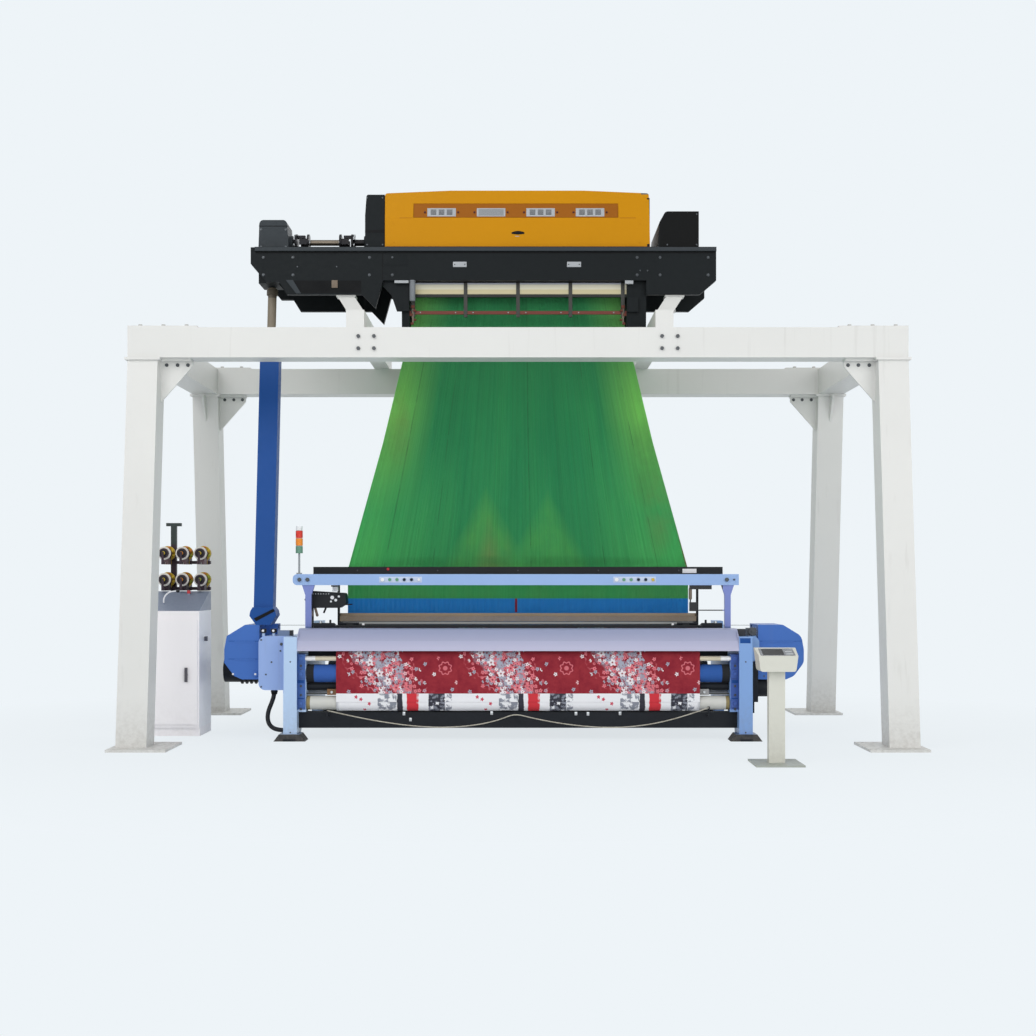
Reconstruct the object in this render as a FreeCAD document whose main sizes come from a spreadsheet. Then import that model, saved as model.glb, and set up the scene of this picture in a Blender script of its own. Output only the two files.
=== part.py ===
import FreeCAD, Part
import math
import os
import re
import Sketcher
from FreeCAD import Rotation, Vector

# Rapier power loom with an electronic Jacquard head on a steel gantry.
# Millimetres. X runs along the loom, Y from the weaver's side to the back, Z up from the floor.

os.makedirs("parts", exist_ok=True)
doc = FreeCAD.newDocument("power_loom")
sheet = doc.addObject("Spreadsheet::Sheet", "sizes")

SIZES = {
    # gantry
    "gantry_half": 3370, "leg_side": 260, "leg_splay": 380, "sole_long": 500, "sole_deep": 600,
    "sole_thick": 22, "sole_out": 40, "cap_thick": 22, "cap_out": 22, "beam_low": 3345,
    "beam_tall": 260, "beam_deep": 260, "front_beam_mid": -780, "rear_beam_mid": 1720,
    "haunch_reach": 270, "haunch_drop": 350, "haunch_thick": 20, "rib_reach": 120, "rib_drop": 260,
    "lap_plate_long": 600, "lap_plate_thick": 14, "anchor_hole_radius": 13, "anchor_inset": 60,
    "bearer_left_out": 336, "bearer_right_out": 84, "bearer_wide": 155, "bearer_tall": 150,
    "bearer_over": 130, "stand_tall": 281, "stand_lean": 172, "stand_deep": 110, "stand_inset": 90,
    "pad_thick": 14, "pad_out": 12,
    "bolt_across": 30, "bolt_head": 16, "bolt_group_x": 1310, "bolt_pitch_x": 135, "bolt_pitch_z": 105,
    # Jacquard head
    "head_front": -150, "head_deep": 900, "head_left_over": 47, "head_right_over": 154,
    "foot_drop": 129, "rail_tall": 303, "rail_thick": 60, "rail_lip": 20, "lip_tall": 40,
    "well_half": 1000, "hanger_left_wide": 70, "hanger_right_wide": 180, "deck_thick": 20,
    "seat_wide": 180, "seat_drop": 15, "gusset_wide": 241, "gusset_tall": 275, "gusset_thick": 24,
    "junction_wide": 102, "junction_tall": 134, "junction_drop": 280,
    "hood_side_left": 120, "hood_side_right": 111, "hood_tall": 532, "hood_crown": 26,
    "hood_inset": 25, "hood_slope": 26, "hood_wall": 8, "hood_round": 22, "vent_half": 940,
    "vent_drop": 120, "vent_tall": 135, "vent_deep": 5, "vent_plate_long": 262,
    "vent_plate_tall": 78, "vent_plate_rise": 12, "grip_long": 110, "grip_tall": 22,
    "grip_rise": 132, "grip_deep": 14, "hood_ring_radius": 18, "hood_ring_wire": 5,
    "box_left_wide": 180, "box_left_tall": 492, "box_right_gap": 73, "box_right_wide": 376,
    "box_right_tall": 339, "box_gap": 4, "box_front_inset": 40, "box_back_inset": 50,
    "gear_out": 106, "gear_wide": 280, "gear_tall": 282, "gear_deep": 300, "gear_round": 40,
    "shaft_line_y": 130, "shaft_rise": 104, "joint_radius": 78, "joint_gear_gap": 110,
    "joint_box_gap": 196, "yoke_flange": 18, "yoke_reach": 46, "yoke_thick": 24, "yoke_wide": 52,
    "cross_radius": 13, "pin_inset": 14, "cross_hub": 24, "tube_radius": 27, "stub_radius": 30,
    "run_clearance": 0.05, "stub_depth": 60,
    "drive_inset": 22, "drive_foot_y": -300, "drive_foot_rise": 30, "drive_radius": 40,
    "drive_collar": 52, "guard_wide": 175, "guard_deep": 150, "guard_wall": 5, "guard_drop": 560,
    "knuckle_tall": 158,
    "griffe_long": 2200, "griffe_deep": 560, "griffe_bar": 30, "griffe_rise": 132,
    "griffe_step": 170, "knife_count": 8, "knife_thick": 8, "module_drop": 28, "module_tall": 330,
    "module_deep": 500, "module_end_gap": 40, "module_count": 24, "module_gap": 14,
    "post_wide": 34, "post_deep": 30, "post_tall": 315, "guide_gap": 4, "guide_inset": 90,
    "bar_rise": 26, "bar_tall": 30, "panel_tall": 105, "panel_thick": 14,
    # harness
    "fan_inset": 5, "fan_cover": 10, "fan_foot_inset": 10, "fan_foot_front": 170,
    "fan_foot_back": 340, "fan_ridges": 60, "ridge_deep": 12, "board_over": 220,
    "board_low": 1477, "board_thick": 68, "board_front": 110, "board_back": 400, "side_rod_gap": 90,
    "side_rod_radius": 12, "spring_bar_low": 440, "spring_bar_tall": 60, "heddle_inset": 15,
    "heddle_front": 190, "heddle_back": 320, "heddle_ridges": 50,
    # loom frame
    "frame_gap": 400, "pillar_wide": 120, "pillar_front": -610, "side_drop": 115, "flange_tall": 39,
    "tower_tall": 130, "foot_wide": 280, "foot_deep": 200, "foot_thick": 25, "foot_tall": 62,
    "cheek_thick": 90,
    "side_over": 135, "side_low": 150, "tower_deep": 250, "flange_reach": 110,
    "roller_cheek_reach": 85, "roller_cheek_thick": 40, "roller_cheek_drop": 78,
    "roller_cheek_rise": 40, "roller_cheek_inset": 20, "roller_cheek_deep": 140,
    "cap_proud": 16, "cap_rise": 36, "roll_arm_gap": 77, "roll_arm_thick": 12, "roll_block_gap": 5,
    "roll_block_long": 80, "knob_radius": 27, "knob_tall": 34, "knob_rise": 30, "knob_inset": 34,
    "knob_gap": 92, "pinion_radius": 40, "pinion_thick": 24, "pinion_teeth": 14,
    "housing_wide": 256, "housing_low": 440, "housing_rise": 3, "housing_front": -480,
    "housing_back": -75, "housing_round": 60, "right_housing_wide": 94, "right_housing_low": 700,
    "cross_drop": 224, "cross_tall": 140, "cross_inset": 62, "cross_deep": 140,
    "rear_cross_low": 66, "rear_cross_tall": 110, "rear_cross_inset": 160, "rear_cross_deep": 120,
    "breast_tall": 195, "breast_clear": 5, "breast_inset": 4, "breast_deep": 261,
    "breast_wall": 10, "breast_round": 70,
    "rail_left_over": 30, "rail_right_inset": 10, "front_rail_low": 1376, "front_rail_tall": 100,
    "front_rail_front": -260, "front_rail_deep": 60, "post_inset": 110, "rail_post_wide": 55,
    "rail_post_deep": 44, "post_flare": 30, "post_flare_tall": 90, "station_left": -1065,
    "station_right": 1060, "button_pitch": 66, "button_radius": 16, "button_tall": 10,
    "stop_rod_radius": 6, "stop_rod_inset": 47, "stop_rod_drop": 186, "stop_clamp_wide": 73,
    "stop_clamp_low": 237, "stop_clamp_top": 155, "stop_bar_drop": 228, "tray_long": 200,
    "tray_tall": 38,
    # rollers and cloth
    "cloth_half": 1615, "cloth_thick": 3, "cloth_inset": 56, "cloth_gap": 1.5, "warp_level": 995,
    "guide_radius": 22, "guide_drop": 70, "take_up_radius": 80, "take_up_drop": 135,
    "cloth_beam_radius": 62, "cloth_beam_drop": 262, "roll_radius": 73, "journal_radius": 18,
    "roller_end_gap": 4, "fell_line": -81, "cloth_turn_gap": 15, "cloth_dive": 65,
    "warp_beam_y": 1000, "warp_beam_gap": 12, "warp_flange_radius": 370, "warp_flange_thick": 18,
    "warp_flange_gap": 85, "warp_yarn_radius": 320, "warp_barrel_radius": 75, "back_rest_out": 265,
    "back_rest_radius": 70, "back_rest_over": 165,
    # sley and reed
    "sley_pivot_y": -40, "sley_pivot_z": 400, "sley_over": 125, "sley_front": -56, "sley_back": 44,
    "sley_tall": 106, "race_drop": 17, "sword_x": 1150, "sword_wide": 46, "rocker_radius": 34,
    "reed_over": 35, "reed_front": 4, "reed_thick": 14, "reed_rise": 138, "reed_sink": 28,
    "reed_band": 30, "dent_count": 110, "dent_share": 0.42, "reed_gap": 0.3,
    "rapier_rise": 26, "rapier_head_long": 150, "rapier_head_tall": 20, "rapier_head_wide": 30,
    "rapier_mid_y": -32, "rapier_out": 65, "tape_wide": 24, "tape_thick": 3,
    # rapier wheels and covers
    "tape_gap": 0.3, "wheel_radius": 165, "wheel_thick": 30, "wheel_holes": 6, "axle_radius": 20,
    "cover_gap": 6, "cover_left_back": 106, "wheel_left_room": 25, "cover_left_room": 73,
    "cover_right_gap": 2, "wheel_right_room": 17, "cover_right_room": 64, "cover_rise": 16,
    "cover_tall": 490, "cover_front": -400, "cover_back": 70, "cover_wall": 8, "cover_rib": 4,
    "cover_boss": 46, "cover_round": 90,
    # motors and what stands beside the loom
    "motor_long": 745, "motor_mid_y": 480, "motor_mid_z": 560, "motor_radius": 115,
    "take_up_case_front": -440, "take_up_case_deep": 210, "take_up_case_wide": 90,
    "take_up_case_low": 330, "take_up_can_radius": 78, "take_up_can_long": 210,
    "selector_over": 50, "selector_long": 382, "selector_rise": 248, "selector_tall": 155,
    "selector_front": -150, "selector_back": 40, "selector_round": 40,
    "tower_inset": 55, "tower_pole": 9, "tower_radius": 32, "tower_segment": 70,
    "tower_pole_tall": 190,
    "cabinet_gap": 262, "cabinet_wide": 500, "cabinet_front": -230, "cabinet_deep": 510,
    "cabinet_brow": 1140, "cabinet_rise": 176, "door_thick": 18, "door_low": 110, "door_drop": 80,
    "door_inset": 16, "latch_inset": 112, "latch_mid": 562, "latch_long": 130, "latch_wide": 26,
    "latch_stem_radius": 8, "arm_radius": 7, "arm_ball_radius": 16, "stop_button_radius": 16,
    "stand_post_inset": 110, "stand_post_gap": 170, "stand_post_side": 50, "stand_over": 292,
    "stand_base": 210, "feeder_row_gap": 248, "feeder_rise": 110, "feeder_inset": 40,
    "feeder_pitch": 170, "feeder_radius": 62, "feeder_long": 190,
    "pedestal_x": 2000, "pedestal_front": -2400, "pedestal_wide": 375, "pedestal_deep": 420,
    "pedestal_sole": 14, "pedestal_post_wide": 125, "pedestal_post_deep": 80, "pedestal_head_low": 720,
    "pedestal_head_wide": 320, "pedestal_head_tall": 177, "pedestal_slope_tall": 57,
    "pedestal_head_deep": 210, "hose_radius": 20, "cord_radius": 5, "cord_plane": -585,
}

# Lines and levels that follow from the sizes.
RULES = {
    # gantry and head, from the beams up
    "bearer_left_mid": "-(well_half + hanger_left_wide + bearer_left_out)",
    "bearer_right_mid": "well_half + hanger_right_wide + bearer_right_out",
    "head_back": "head_front + head_deep",
    "stand_front_mid": "head_front + stand_inset",
    "stand_rear_mid": "head_back - stand_inset",
    "head_low": "beam_low + beam_tall + bearer_tall + stand_tall",
    "rail_low": "head_low + foot_drop",
    "rail_top": "rail_low + rail_tall",
    "hood_top": "rail_top + hood_tall",
    "hood_left": "-(griffe_long / 2 + hood_side_left)",
    "hood_right": "griffe_long / 2 + hood_side_right",
    "hood_front": "head_front + hood_inset",
    "hood_back": "head_back - hood_inset",
    "vent_high": "hood_top - vent_drop",
    "vent_low": "vent_high - vent_tall",
    "vent_plate_low": "vent_low + vent_plate_rise",
    "grip_height": "rail_top + grip_rise",
    "box_left_edge": "hood_left - box_gap - box_left_wide",
    "box_left_top": "rail_top + box_left_tall",
    "box_right_low_x": "hood_right + box_right_gap",
    "box_right_edge": "box_right_low_x + box_right_wide",
    "box_right_top": "rail_top + box_right_tall",
    "box_front": "head_front + box_front_inset",
    "box_back": "head_back - box_back_inset",
    "head_left": "gear_left - head_left_over",
    "head_right": "box_right_edge + head_right_over",
    "griffe_mid_y": "(head_front + head_back) / 2",
    "griffe_low": "rail_top + griffe_rise",
    "module_top": "rail_top - module_drop",
    "module_low": "module_top - module_tall",
    "module_half": "well_half - module_end_gap",
    "module_front": "griffe_mid_y - module_deep / 2",
    "module_back": "griffe_mid_y + module_deep / 2",
    "guide_front": "head_front + guide_inset",
    "guide_back": "head_back - guide_inset",
    "guide_low": "rail_low - guide_gap - post_tall",
    "bar_low": "guide_low + bar_rise",
    "panel_low": "rail_low - guide_gap - panel_tall",
    # drive line from the loom's left housing up to the head
    "drive_line_x": "-(housing_out - drive_inset)",
    "gear_left": "drive_line_x - gear_out",
    "gear_right": "gear_left + gear_wide",
    "gear_top": "rail_top + gear_tall",
    "gear_front": "shaft_line_y - gear_deep / 2",
    "gear_back": "shaft_line_y + gear_deep / 2",
    "shaft_line_z": "rail_top + shaft_rise",
    "joint_left": "gear_right + joint_gear_gap",
    "joint_right": "box_left_edge - joint_box_gap",
    "drive_top_y": "shaft_line_y",
    "drive_top_z": "rail_low - seat_drop",
    "drive_foot_z": "knuckle_low + drive_foot_rise",
    "guard_top": "drive_top_z - guard_drop",
    "knuckle_low": "cover_top",
    "knuckle_top": "knuckle_low + knuckle_tall",
    "drive_tall": "drive_top_z - drive_foot_z",
    "drive_back": "drive_top_y - drive_foot_y",
    "drive_reach": "sqrt(drive_back ^ 2 + drive_tall ^ 2)",
    # harness
    "fan_top": "module_low",
    "fan_top_half": "module_half - fan_inset",
    "fan_top_front": "module_front + fan_cover",
    "fan_top_back": "module_back - fan_cover",
    "heddle_half": "cloth_half - heddle_inset",
    "fan_foot_half": "heddle_half - fan_foot_inset",
    "side_rod_x": "heddle_half + side_rod_gap",
    "board_half": "side_rod_x + board_over",
    # loom, from the width of the cloth and the level of the warp
    "frame_mid_x": "cloth_half + frame_gap",
    "frame_in": "frame_mid_x - cheek_thick / 2",
    "frame_out": "frame_mid_x + cheek_thick / 2",
    "side_top": "warp_level - side_drop",
    "pillar_top": "side_top + flange_tall",
    "tower_top": "side_top + tower_tall",
    "side_back": "back_rest_y + side_over",
    "tower_front": "side_back - tower_deep",
    "roller_cheek_in": "frame_in - roller_cheek_reach",
    "roller_cheek_low": "cloth_beam_mid_z - roller_cheek_drop",
    "roller_cheek_top": "guide_mid_z + roller_cheek_rise",
    "roller_cheek_front": "cloth_plane + roller_cheek_inset",
    "roller_cheek_back": "roller_cheek_front + roller_cheek_deep",
    "housing_out": "frame_out + housing_wide",
    "right_housing_out": "frame_out + right_housing_wide",
    "housing_top": "pillar_top + housing_rise",
    "cross_low": "cloth_beam_mid_z - cross_drop",
    "cross_front": "cloth_plane + cross_inset",
    "rear_cross_front": "side_back - rear_cross_inset",
    "breast_top": "warp_level - breast_clear",
    "breast_low": "breast_top - breast_tall",
    "breast_front": "pillar_front + breast_inset",
    "breast_back": "breast_front + breast_deep",
    "breast_half": "frame_mid_x - pillar_wide / 2",
    "rail_left_end": "-(frame_mid_x + rail_left_over)",
    "rail_right_end": "frame_mid_x - rail_right_inset",
    "post_x": "frame_mid_x - post_inset",
    "cloth_plane": "breast_front + cloth_inset",
    "cloth_turn": "breast_back + cloth_turn_gap",
    "guide_mid_z": "breast_low - guide_drop",
    "take_up_mid_z": "guide_mid_z - take_up_drop",
    "cloth_beam_mid_z": "take_up_mid_z - cloth_beam_drop",
    "back_rest_y": "warp_beam_y + back_rest_out",
    "back_rest_half": "cloth_half + back_rest_over",
    "rest_level": "warp_level - cloth_thick / 2 - cloth_gap - back_rest_radius",
    "warp_beam_z": "rest_level - warp_flange_radius - warp_beam_gap",
    "warp_flange_x": "cloth_half + warp_flange_gap",
    "race_top": "warp_level - race_drop",
    "sley_low": "race_top - sley_tall",
    "sley_half": "cloth_half + sley_over",
    "reed_half": "cloth_half + reed_over",
    "reed_top": "race_top + reed_rise",
    "reed_low": "race_top - reed_sink",
    "rapier_low": "race_top + rapier_rise",
    "rapier_tip_x": "cloth_half + rapier_out",
    "wheel_level": "rapier_low - wheel_radius - tape_gap",
    "cover_top": "rapier_low + cover_rise",
    "cover_low": "cover_top - cover_tall",
    "cover_left_in": "housing_out + cover_gap",
    "cover_left_deep": "housing_out - cover_left_back",
    "wheel_left_x": "-(cover_left_deep + wheel_left_room + wheel_radius)",
    "cover_left_out": "wheel_radius + cover_left_room - wheel_left_x",
    "cover_right_in": "right_housing_out + cover_right_gap",
    "wheel_right_x": "cover_right_in + wheel_right_room + wheel_radius",
    "cover_right_out": "wheel_right_x + wheel_radius + cover_right_room",
    "motor_out": "frame_out + motor_long",
    "selector_left": "-(post_x + selector_over)",
    "selector_right": "selector_left + selector_long",
    "selector_low": "pillar_top + selector_rise",
    "selector_top": "selector_low + selector_tall",
    "tower_x": "rail_left_end + tower_inset",
    # cabinet, feeders and pedestal
    "cabinet_right": "-(cover_left_out + cabinet_gap)",
    "cabinet_left": "cabinet_right - cabinet_wide",
    "cabinet_back": "cabinet_front + cabinet_deep",
    "cabinet_crest": "cabinet_brow + cabinet_rise",
    "door_top": "cabinet_brow - door_drop",
    "latch_x": "cabinet_right - latch_inset",
    "stand_post_x": "cabinet_left + stand_post_inset",
    "stand_post_y": "cabinet_back + stand_post_gap",
    "feeder_row_low": "cabinet_crest + feeder_rise",
    "feeder_row_high": "feeder_row_low + feeder_row_gap",
    "stand_top": "feeder_row_high + stand_over",
    "feeder_first_x": "stand_post_x - feeder_inset",
    "pedestal_head_crest": "pedestal_head_low + pedestal_head_tall",
    "pedestal_head_front": "pedestal_head_crest - pedestal_slope_tall",
}

for row, (alias, size) in enumerate(SIZES.items(), start=1):
    sheet.set(f"A{row}", alias)
    sheet.set(f"B{row}", str(size))
    sheet.setAlias(f"B{row}", alias)
doc.recompute()

nodes = []


def spell(rule):
    """Write a rule such as 'leg_side / 2' with the sheet's name before each size."""
    def word(found):
        name = found[0]
        if name in RULES:
            return f"({spell(RULES[name])})"
        return "sizes." + name if name in SIZES else name
    return re.sub(r"[a-z_]+", word, str(rule))


def number(rule):
    """Work a rule out from the sheet."""
    return float(sheet.evalExpression(spell(rule)))


def bind(item, **rules):
    """Bind properties of an object to rules of the sheet."""
    for prop, rule in rules.items():
        item.setExpression(prop.replace("_at_", ".Base.").replace("Spot", "Placement"), spell(rule))
    return item


def place(item, x=0, y=0, z=0):
    return bind(item, Spot_at_x=x, Spot_at_y=y, Spot_at_z=z)


def block(name, x0, x1, y0, y1, z0, z1):
    """Box between low and high rules on each axis."""
    item = doc.addObject("Part::Box", name)
    bind(item, Length=f"({x1}) - ({x0})", Width=f"({y1}) - ({y0})", Height=f"({z1}) - ({z0})")
    return place(item, x0, y0, z0)


TURNS = {
    "X": Rotation(Vector(0, 1, 0), 90),
    "Y": Rotation(Vector(1, 0, 0), -90),
    "Z": Rotation(),
}


def rod(name, axis, radius, reach, x, y, z):
    """Cylinder that starts at x, y, z and runs along one axis."""
    item = doc.addObject("Part::Cylinder", name)
    item.Placement.Rotation = TURNS[axis]
    bind(item, Radius=radius, Height=reach)
    return place(item, x, y, z)


def bar_x(name, radius, half, y, z):
    """Round bar across the loom, centred on its middle."""
    return rod(name, "X", radius, f"2 * ({half})", f"-({half})", y, z)


PLANES = {"XY": "XY_Plane", "XZ": "XZ_Plane", "YZ": "YZ_Plane"}


def profile(name, plane, points, depth, low, rounds=(), radius=None):
    """Pad a closed outline of sized points. Low is where the solid starts along its depth."""
    body = doc.addObject("PartDesign::Body", name)
    sketch = body.newObject("Sketcher::SketchObject", name + "_outline")
    support = [item for item in body.Origin.OriginFeatures if item.Role == PLANES[plane]]
    sketch.AttachmentSupport = [(support[0], "")]
    sketch.MapMode = "FlatFace"
    spots = [Vector(number(across), number(up), 0) for across, up in points]
    count = len(points)
    lines = [Part.LineSegment(spots[i], spots[(i + 1) % count]) for i in range(count)]
    sketch.addGeometry(lines, False)
    for i in range(count):
        sketch.addConstraint(Sketcher.Constraint("Coincident", i, 2, (i + 1) % count, 1))
    for i, (across, up) in enumerate(points):
        for kind, rule, now in (("DistanceX", across, spots[i].x), ("DistanceY", up, spots[i].y)):
            spot = sketch.addConstraint(Sketcher.Constraint(kind, -1, 1, i, 1, now))
            sketch.setExpression(f"Constraints[{spot}]", spell(rule))
    pad = body.newObject("PartDesign::Pad", name + "_pad")
    pad.Profile = sketch
    bind(pad, Length=depth)
    if rounds:
        doc.recompute()
        picks = [f"Edge{i + 1}" for i, edge in enumerate(pad.Shape.Edges)
                 if runs_at(edge, plane, [spots[k] for k in rounds])]
        fillet = body.newObject("PartDesign::Fillet", name + "_rounds")
        fillet.Base = (pad, picks)
        bind(fillet, Radius=radius)
        body.Tip = fillet
    starts = {"XY": (0, 0, low), "XZ": (0, f"({low}) + ({depth})", 0), "YZ": (low, 0, 0)}
    return place(body, *starts[plane])


def runs_at(edge, plane, corners):
    """True for an edge along the pad's depth that stands on one of the corners."""
    first, last = edge.Vertexes[0].Point, edge.Vertexes[-1].Point
    flat = {"XY": lambda p: (p.x, p.y), "XZ": lambda p: (p.x, p.z), "YZ": lambda p: (p.y, p.z)}[plane]
    if math.dist(flat(first), flat(last)) > 0.01:
        return False
    return any(math.dist(flat(first), (corner.x, corner.y)) < 0.01 for corner in corners)


def join(name, parts):
    item = doc.addObject("Part::MultiFuse", name)
    item.Shapes = parts
    item.Refine = True
    return item


def cut(name, base, tools):
    item = doc.addObject("Part::Cut", name)
    item.Base = base
    item.Tool = tools[0] if len(tools) == 1 else join(name + "_tools", tools)
    item.Refine = True
    return item


def group(name, parts):
    """Separate solids that share one node."""
    item = doc.addObject("Part::Compound", name)
    item.Links = parts
    return item


def shaped(name, shape):
    """Solid made with Part's own functions, from sizes read off the sheet."""
    item = doc.addObject("Part::Feature", name)
    item.Shape = shape
    item.Placement = FreeCAD.Placement()
    return item


def node(label, parts, cuts=(), apart=False):
    """One physical piece of the loom."""
    item = parts[0]
    if len(parts) > 1:
        item = group(label + "_group", parts) if apart else join(label + "_joined", parts)
    if cuts:
        item = cut(label + "_piece", item, list(cuts))
    item.Label = label
    nodes.append(item)
    return item


# ---------------------------------------------------------------- gantry

def leg(label, side, end):
    """Splayed box-section leg with its sole, cap, haunch and rib. Side is X, end is Y."""
    mid = "rear_beam_mid" if end > 0 else "front_beam_mid"
    foot = f"{mid} + ({end}) * leg_splay"
    low_x = f"({side}) * (gantry_half - leg_side / 2) - leg_side / 2"
    under = "beam_low - cap_thick"
    column = profile(label + "_column", "YZ", [
        (f"{foot} - leg_side / 2", "sole_thick"), (f"{foot} + leg_side / 2", "sole_thick"),
        (f"{mid} + leg_side / 2", under), (f"{mid} - leg_side / 2", under)], "leg_side", low_x)
    outer = f"({side}) * (gantry_half + sole_out)"
    inner = f"({side}) * (gantry_half + sole_out - sole_long)"
    sole_x = (inner, outer) if side > 0 else (outer, inner)
    sole = block(label + "_sole", *sole_x, f"{foot} - sole_deep / 2", f"{foot} + sole_deep / 2",
                 0, "sole_thick")
    middle = f"({side}) * (gantry_half - leg_side / 2)"
    half_cap = "(leg_side / 2 + cap_out)"
    cap = block(label + "_cap", f"{middle} - {half_cap}", f"{middle} + {half_cap}",
                f"{mid} - {half_cap}", f"{mid} + {half_cap}", under, "beam_low")
    face = f"({side}) * (gantry_half - leg_side)"
    haunch = profile(label + "_haunch", "XZ", [
        (face, f"{under} - haunch_drop"), (f"{face} - ({side}) * haunch_reach", f"{under} - leg_side / 6"),
        (f"{face} - ({side}) * haunch_reach", under), (face, under)],
        "haunch_thick", f"{mid} - haunch_thick / 2")
    inward = f"{mid} - ({end}) * leg_side / 2"
    rib = profile(label + "_rib", "YZ", [
        (f"{inward} + ({end}) * leg_splay * rib_drop / beam_low", f"{under} - rib_drop"),
        (f"{inward} - ({end}) * rib_reach", f"{under} - leg_side / 8"),
        (f"{inward} - ({end}) * rib_reach", under), (inward, under)],
        "haunch_thick", f"{middle} - haunch_thick / 2")
    tip = f"{face} - ({side}) * haunch_reach"
    haunch_top = block(label + "_haunch_cap", tip if side > 0 else face, face if side > 0 else tip,
                       f"{mid} - leg_side / 4", f"{mid} + leg_side / 4", under, "beam_low")
    holes = [rod(f"{label}_hole_{i}_{k}", "Z", "anchor_hole_radius", "3 * sole_thick",
                 f"{inner if i < 0 else outer} - ({side * i}) * anchor_inset",
                 f"{foot} + ({k}) * (sole_deep / 2 - anchor_inset)", "-sole_thick")
             for i in (-1, 1) for k in (-1, 1)]
    node(label, [column, sole, cap, haunch, rib, haunch_top], holes)


leg("front_left_leg", -1, -1)
leg("front_right_leg", 1, -1)
leg("rear_left_leg", -1, 1)
leg("rear_right_leg", 1, 1)

beam_top = "(beam_low + beam_tall)"


def long_beam(label, mid):
    """Beam across the gantry, with a lap plate on top at each end."""
    edges = (f"{mid} - beam_deep / 2", f"{mid} + beam_deep / 2")
    tube = block(label + "_tube", "-gantry_half", "gantry_half", *edges, "beam_low", beam_top)
    left = block(label + "_left_lap", "-gantry_half", "-gantry_half + lap_plate_long", *edges,
                 beam_top, f"{beam_top} + lap_plate_thick")
    right = block(label + "_right_lap", "gantry_half - lap_plate_long", "gantry_half", *edges,
                  beam_top, f"{beam_top} + lap_plate_thick")
    node(label, [tube, left, right])


long_beam("front_beam", "front_beam_mid")
long_beam("rear_beam", "rear_beam_mid")


def end_beam(label, side):
    middle = f"({side}) * (gantry_half - beam_deep / 2)"
    node(label, [block(label + "_tube", f"{middle} - beam_deep / 2", f"{middle} + beam_deep / 2",
                       "front_beam_mid + beam_deep / 2", "rear_beam_mid - beam_deep / 2",
                       "beam_low", beam_top)])


end_beam("left_end_beam", -1)
end_beam("right_end_beam", 1)

bearer_top = f"({beam_top} + bearer_tall)"


def bearer(label, side):
    """Bearer that lies on the gantry and carries the head on two leaning stands."""
    mid = "bearer_right_mid" if side > 0 else "bearer_left_mid"
    low, high = f"{mid} - bearer_wide / 2", f"{mid} + bearer_wide / 2"
    parts = [block(label + "_tube", low, high, "front_beam_mid - bearer_over",
                   "rear_beam_mid + bearer_over", beam_top, bearer_top)]
    shift = f"({side}) * stand_lean"
    under = "head_low - pad_thick"
    for spot in ("front", "rear"):
        middle = f"stand_{spot}_mid"
        parts.append(profile(f"{label}_{spot}_stand", "XZ", [
            (low, bearer_top), (high, bearer_top), (f"{high} + {shift}", under), (f"{low} + {shift}", under)],
            "stand_deep", f"{middle} - stand_deep / 2"))
        parts.append(block(f"{label}_{spot}_pad", f"{low} + {shift} - pad_out", f"{high} + {shift} + pad_out",
                           f"{middle} - stand_deep / 2 - pad_out", f"{middle} + stand_deep / 2 + pad_out",
                           under, "head_low"))
    node(label, parts)


bearer("left_bearer", -1)
bearer("right_bearer", 1)


def hex_head(name, axis, x, y, z, toward=1):
    """Hexagon bolt head that sits on a face and points along one axis."""
    item = doc.addObject("Part::Prism", name)
    item.Polygon = 6
    bind(item, Circumradius="bolt_across / sqrt(3)", Height="bolt_head")
    item.Placement.Rotation = TURNS[axis]
    back = "" if toward > 0 else " - bolt_head"
    spots = {"X": x, "Y": y, "Z": z}
    spots[axis] = f"{spots[axis]}{back}"
    return place(item, spots["X"], spots["Y"], spots["Z"])


def gantry_bolts():
    heads = []
    for side in (-1, 1):
        for i in (-1, 1):
            for k in (-1, 1):
                across = f"({side}) * bolt_group_x + ({i}) * bolt_pitch_x / 2"
                up = f"beam_low + beam_tall / 2 + ({k}) * bolt_pitch_z / 2"
                tag = f"{side}_{i}_{k}".replace("-", "m")
                heads.append(hex_head(f"front_web_bolt_{tag}", "Y", across,
                                      "front_beam_mid - beam_deep / 2", up, -1))
                heads.append(hex_head(f"rear_web_bolt_{tag}", "Y", across,
                                      "rear_beam_mid + beam_deep / 2", up))
        for mid in ("front_beam_mid", "rear_beam_mid"):
            for i in (0, 1, 2):
                for k in (-1, 1):
                    across = f"({side}) * (gantry_half - lap_plate_long * ({i} + 0.5) / 3)"
                    along = f"{mid} + ({k}) * beam_deep / 3"
                    tag = f"{mid}_{side}_{i}_{k}".replace("-", "m")
                    heads.append(hex_head(f"lap_bolt_{tag}", "Z", across, along,
                                          f"{beam_top} + lap_plate_thick"))
    node("gantry_bolts", heads, apart=True)


gantry_bolts()

# ---------------------------------------------------------------- Jacquard head


def head_rail(name, low_y):
    """Cast side of the head seen from the front, with its chamfered lower corners."""
    return profile(name, "XZ", [
        ("head_left", "rail_top"), ("head_left", "rail_low + 0.5 * (rail_top - rail_low)"),
        ("head_left + 140", "drive_top_z"), ("head_left + 260", "drive_top_z"),
        ("head_left + 330", "head_low"), ("bearer_left_mid - 20", "head_low"),
        ("bearer_left_mid + 100", "head_low - 125"), ("bearer_left_mid + 170", "rail_low"),
        ("head_right - 640", "rail_low"), ("head_right - 640", "head_low"),
        ("head_right - 150", "head_low"), ("head_right", "rail_low"), ("head_right", "rail_top")],
        "rail_thick", low_y)


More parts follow.
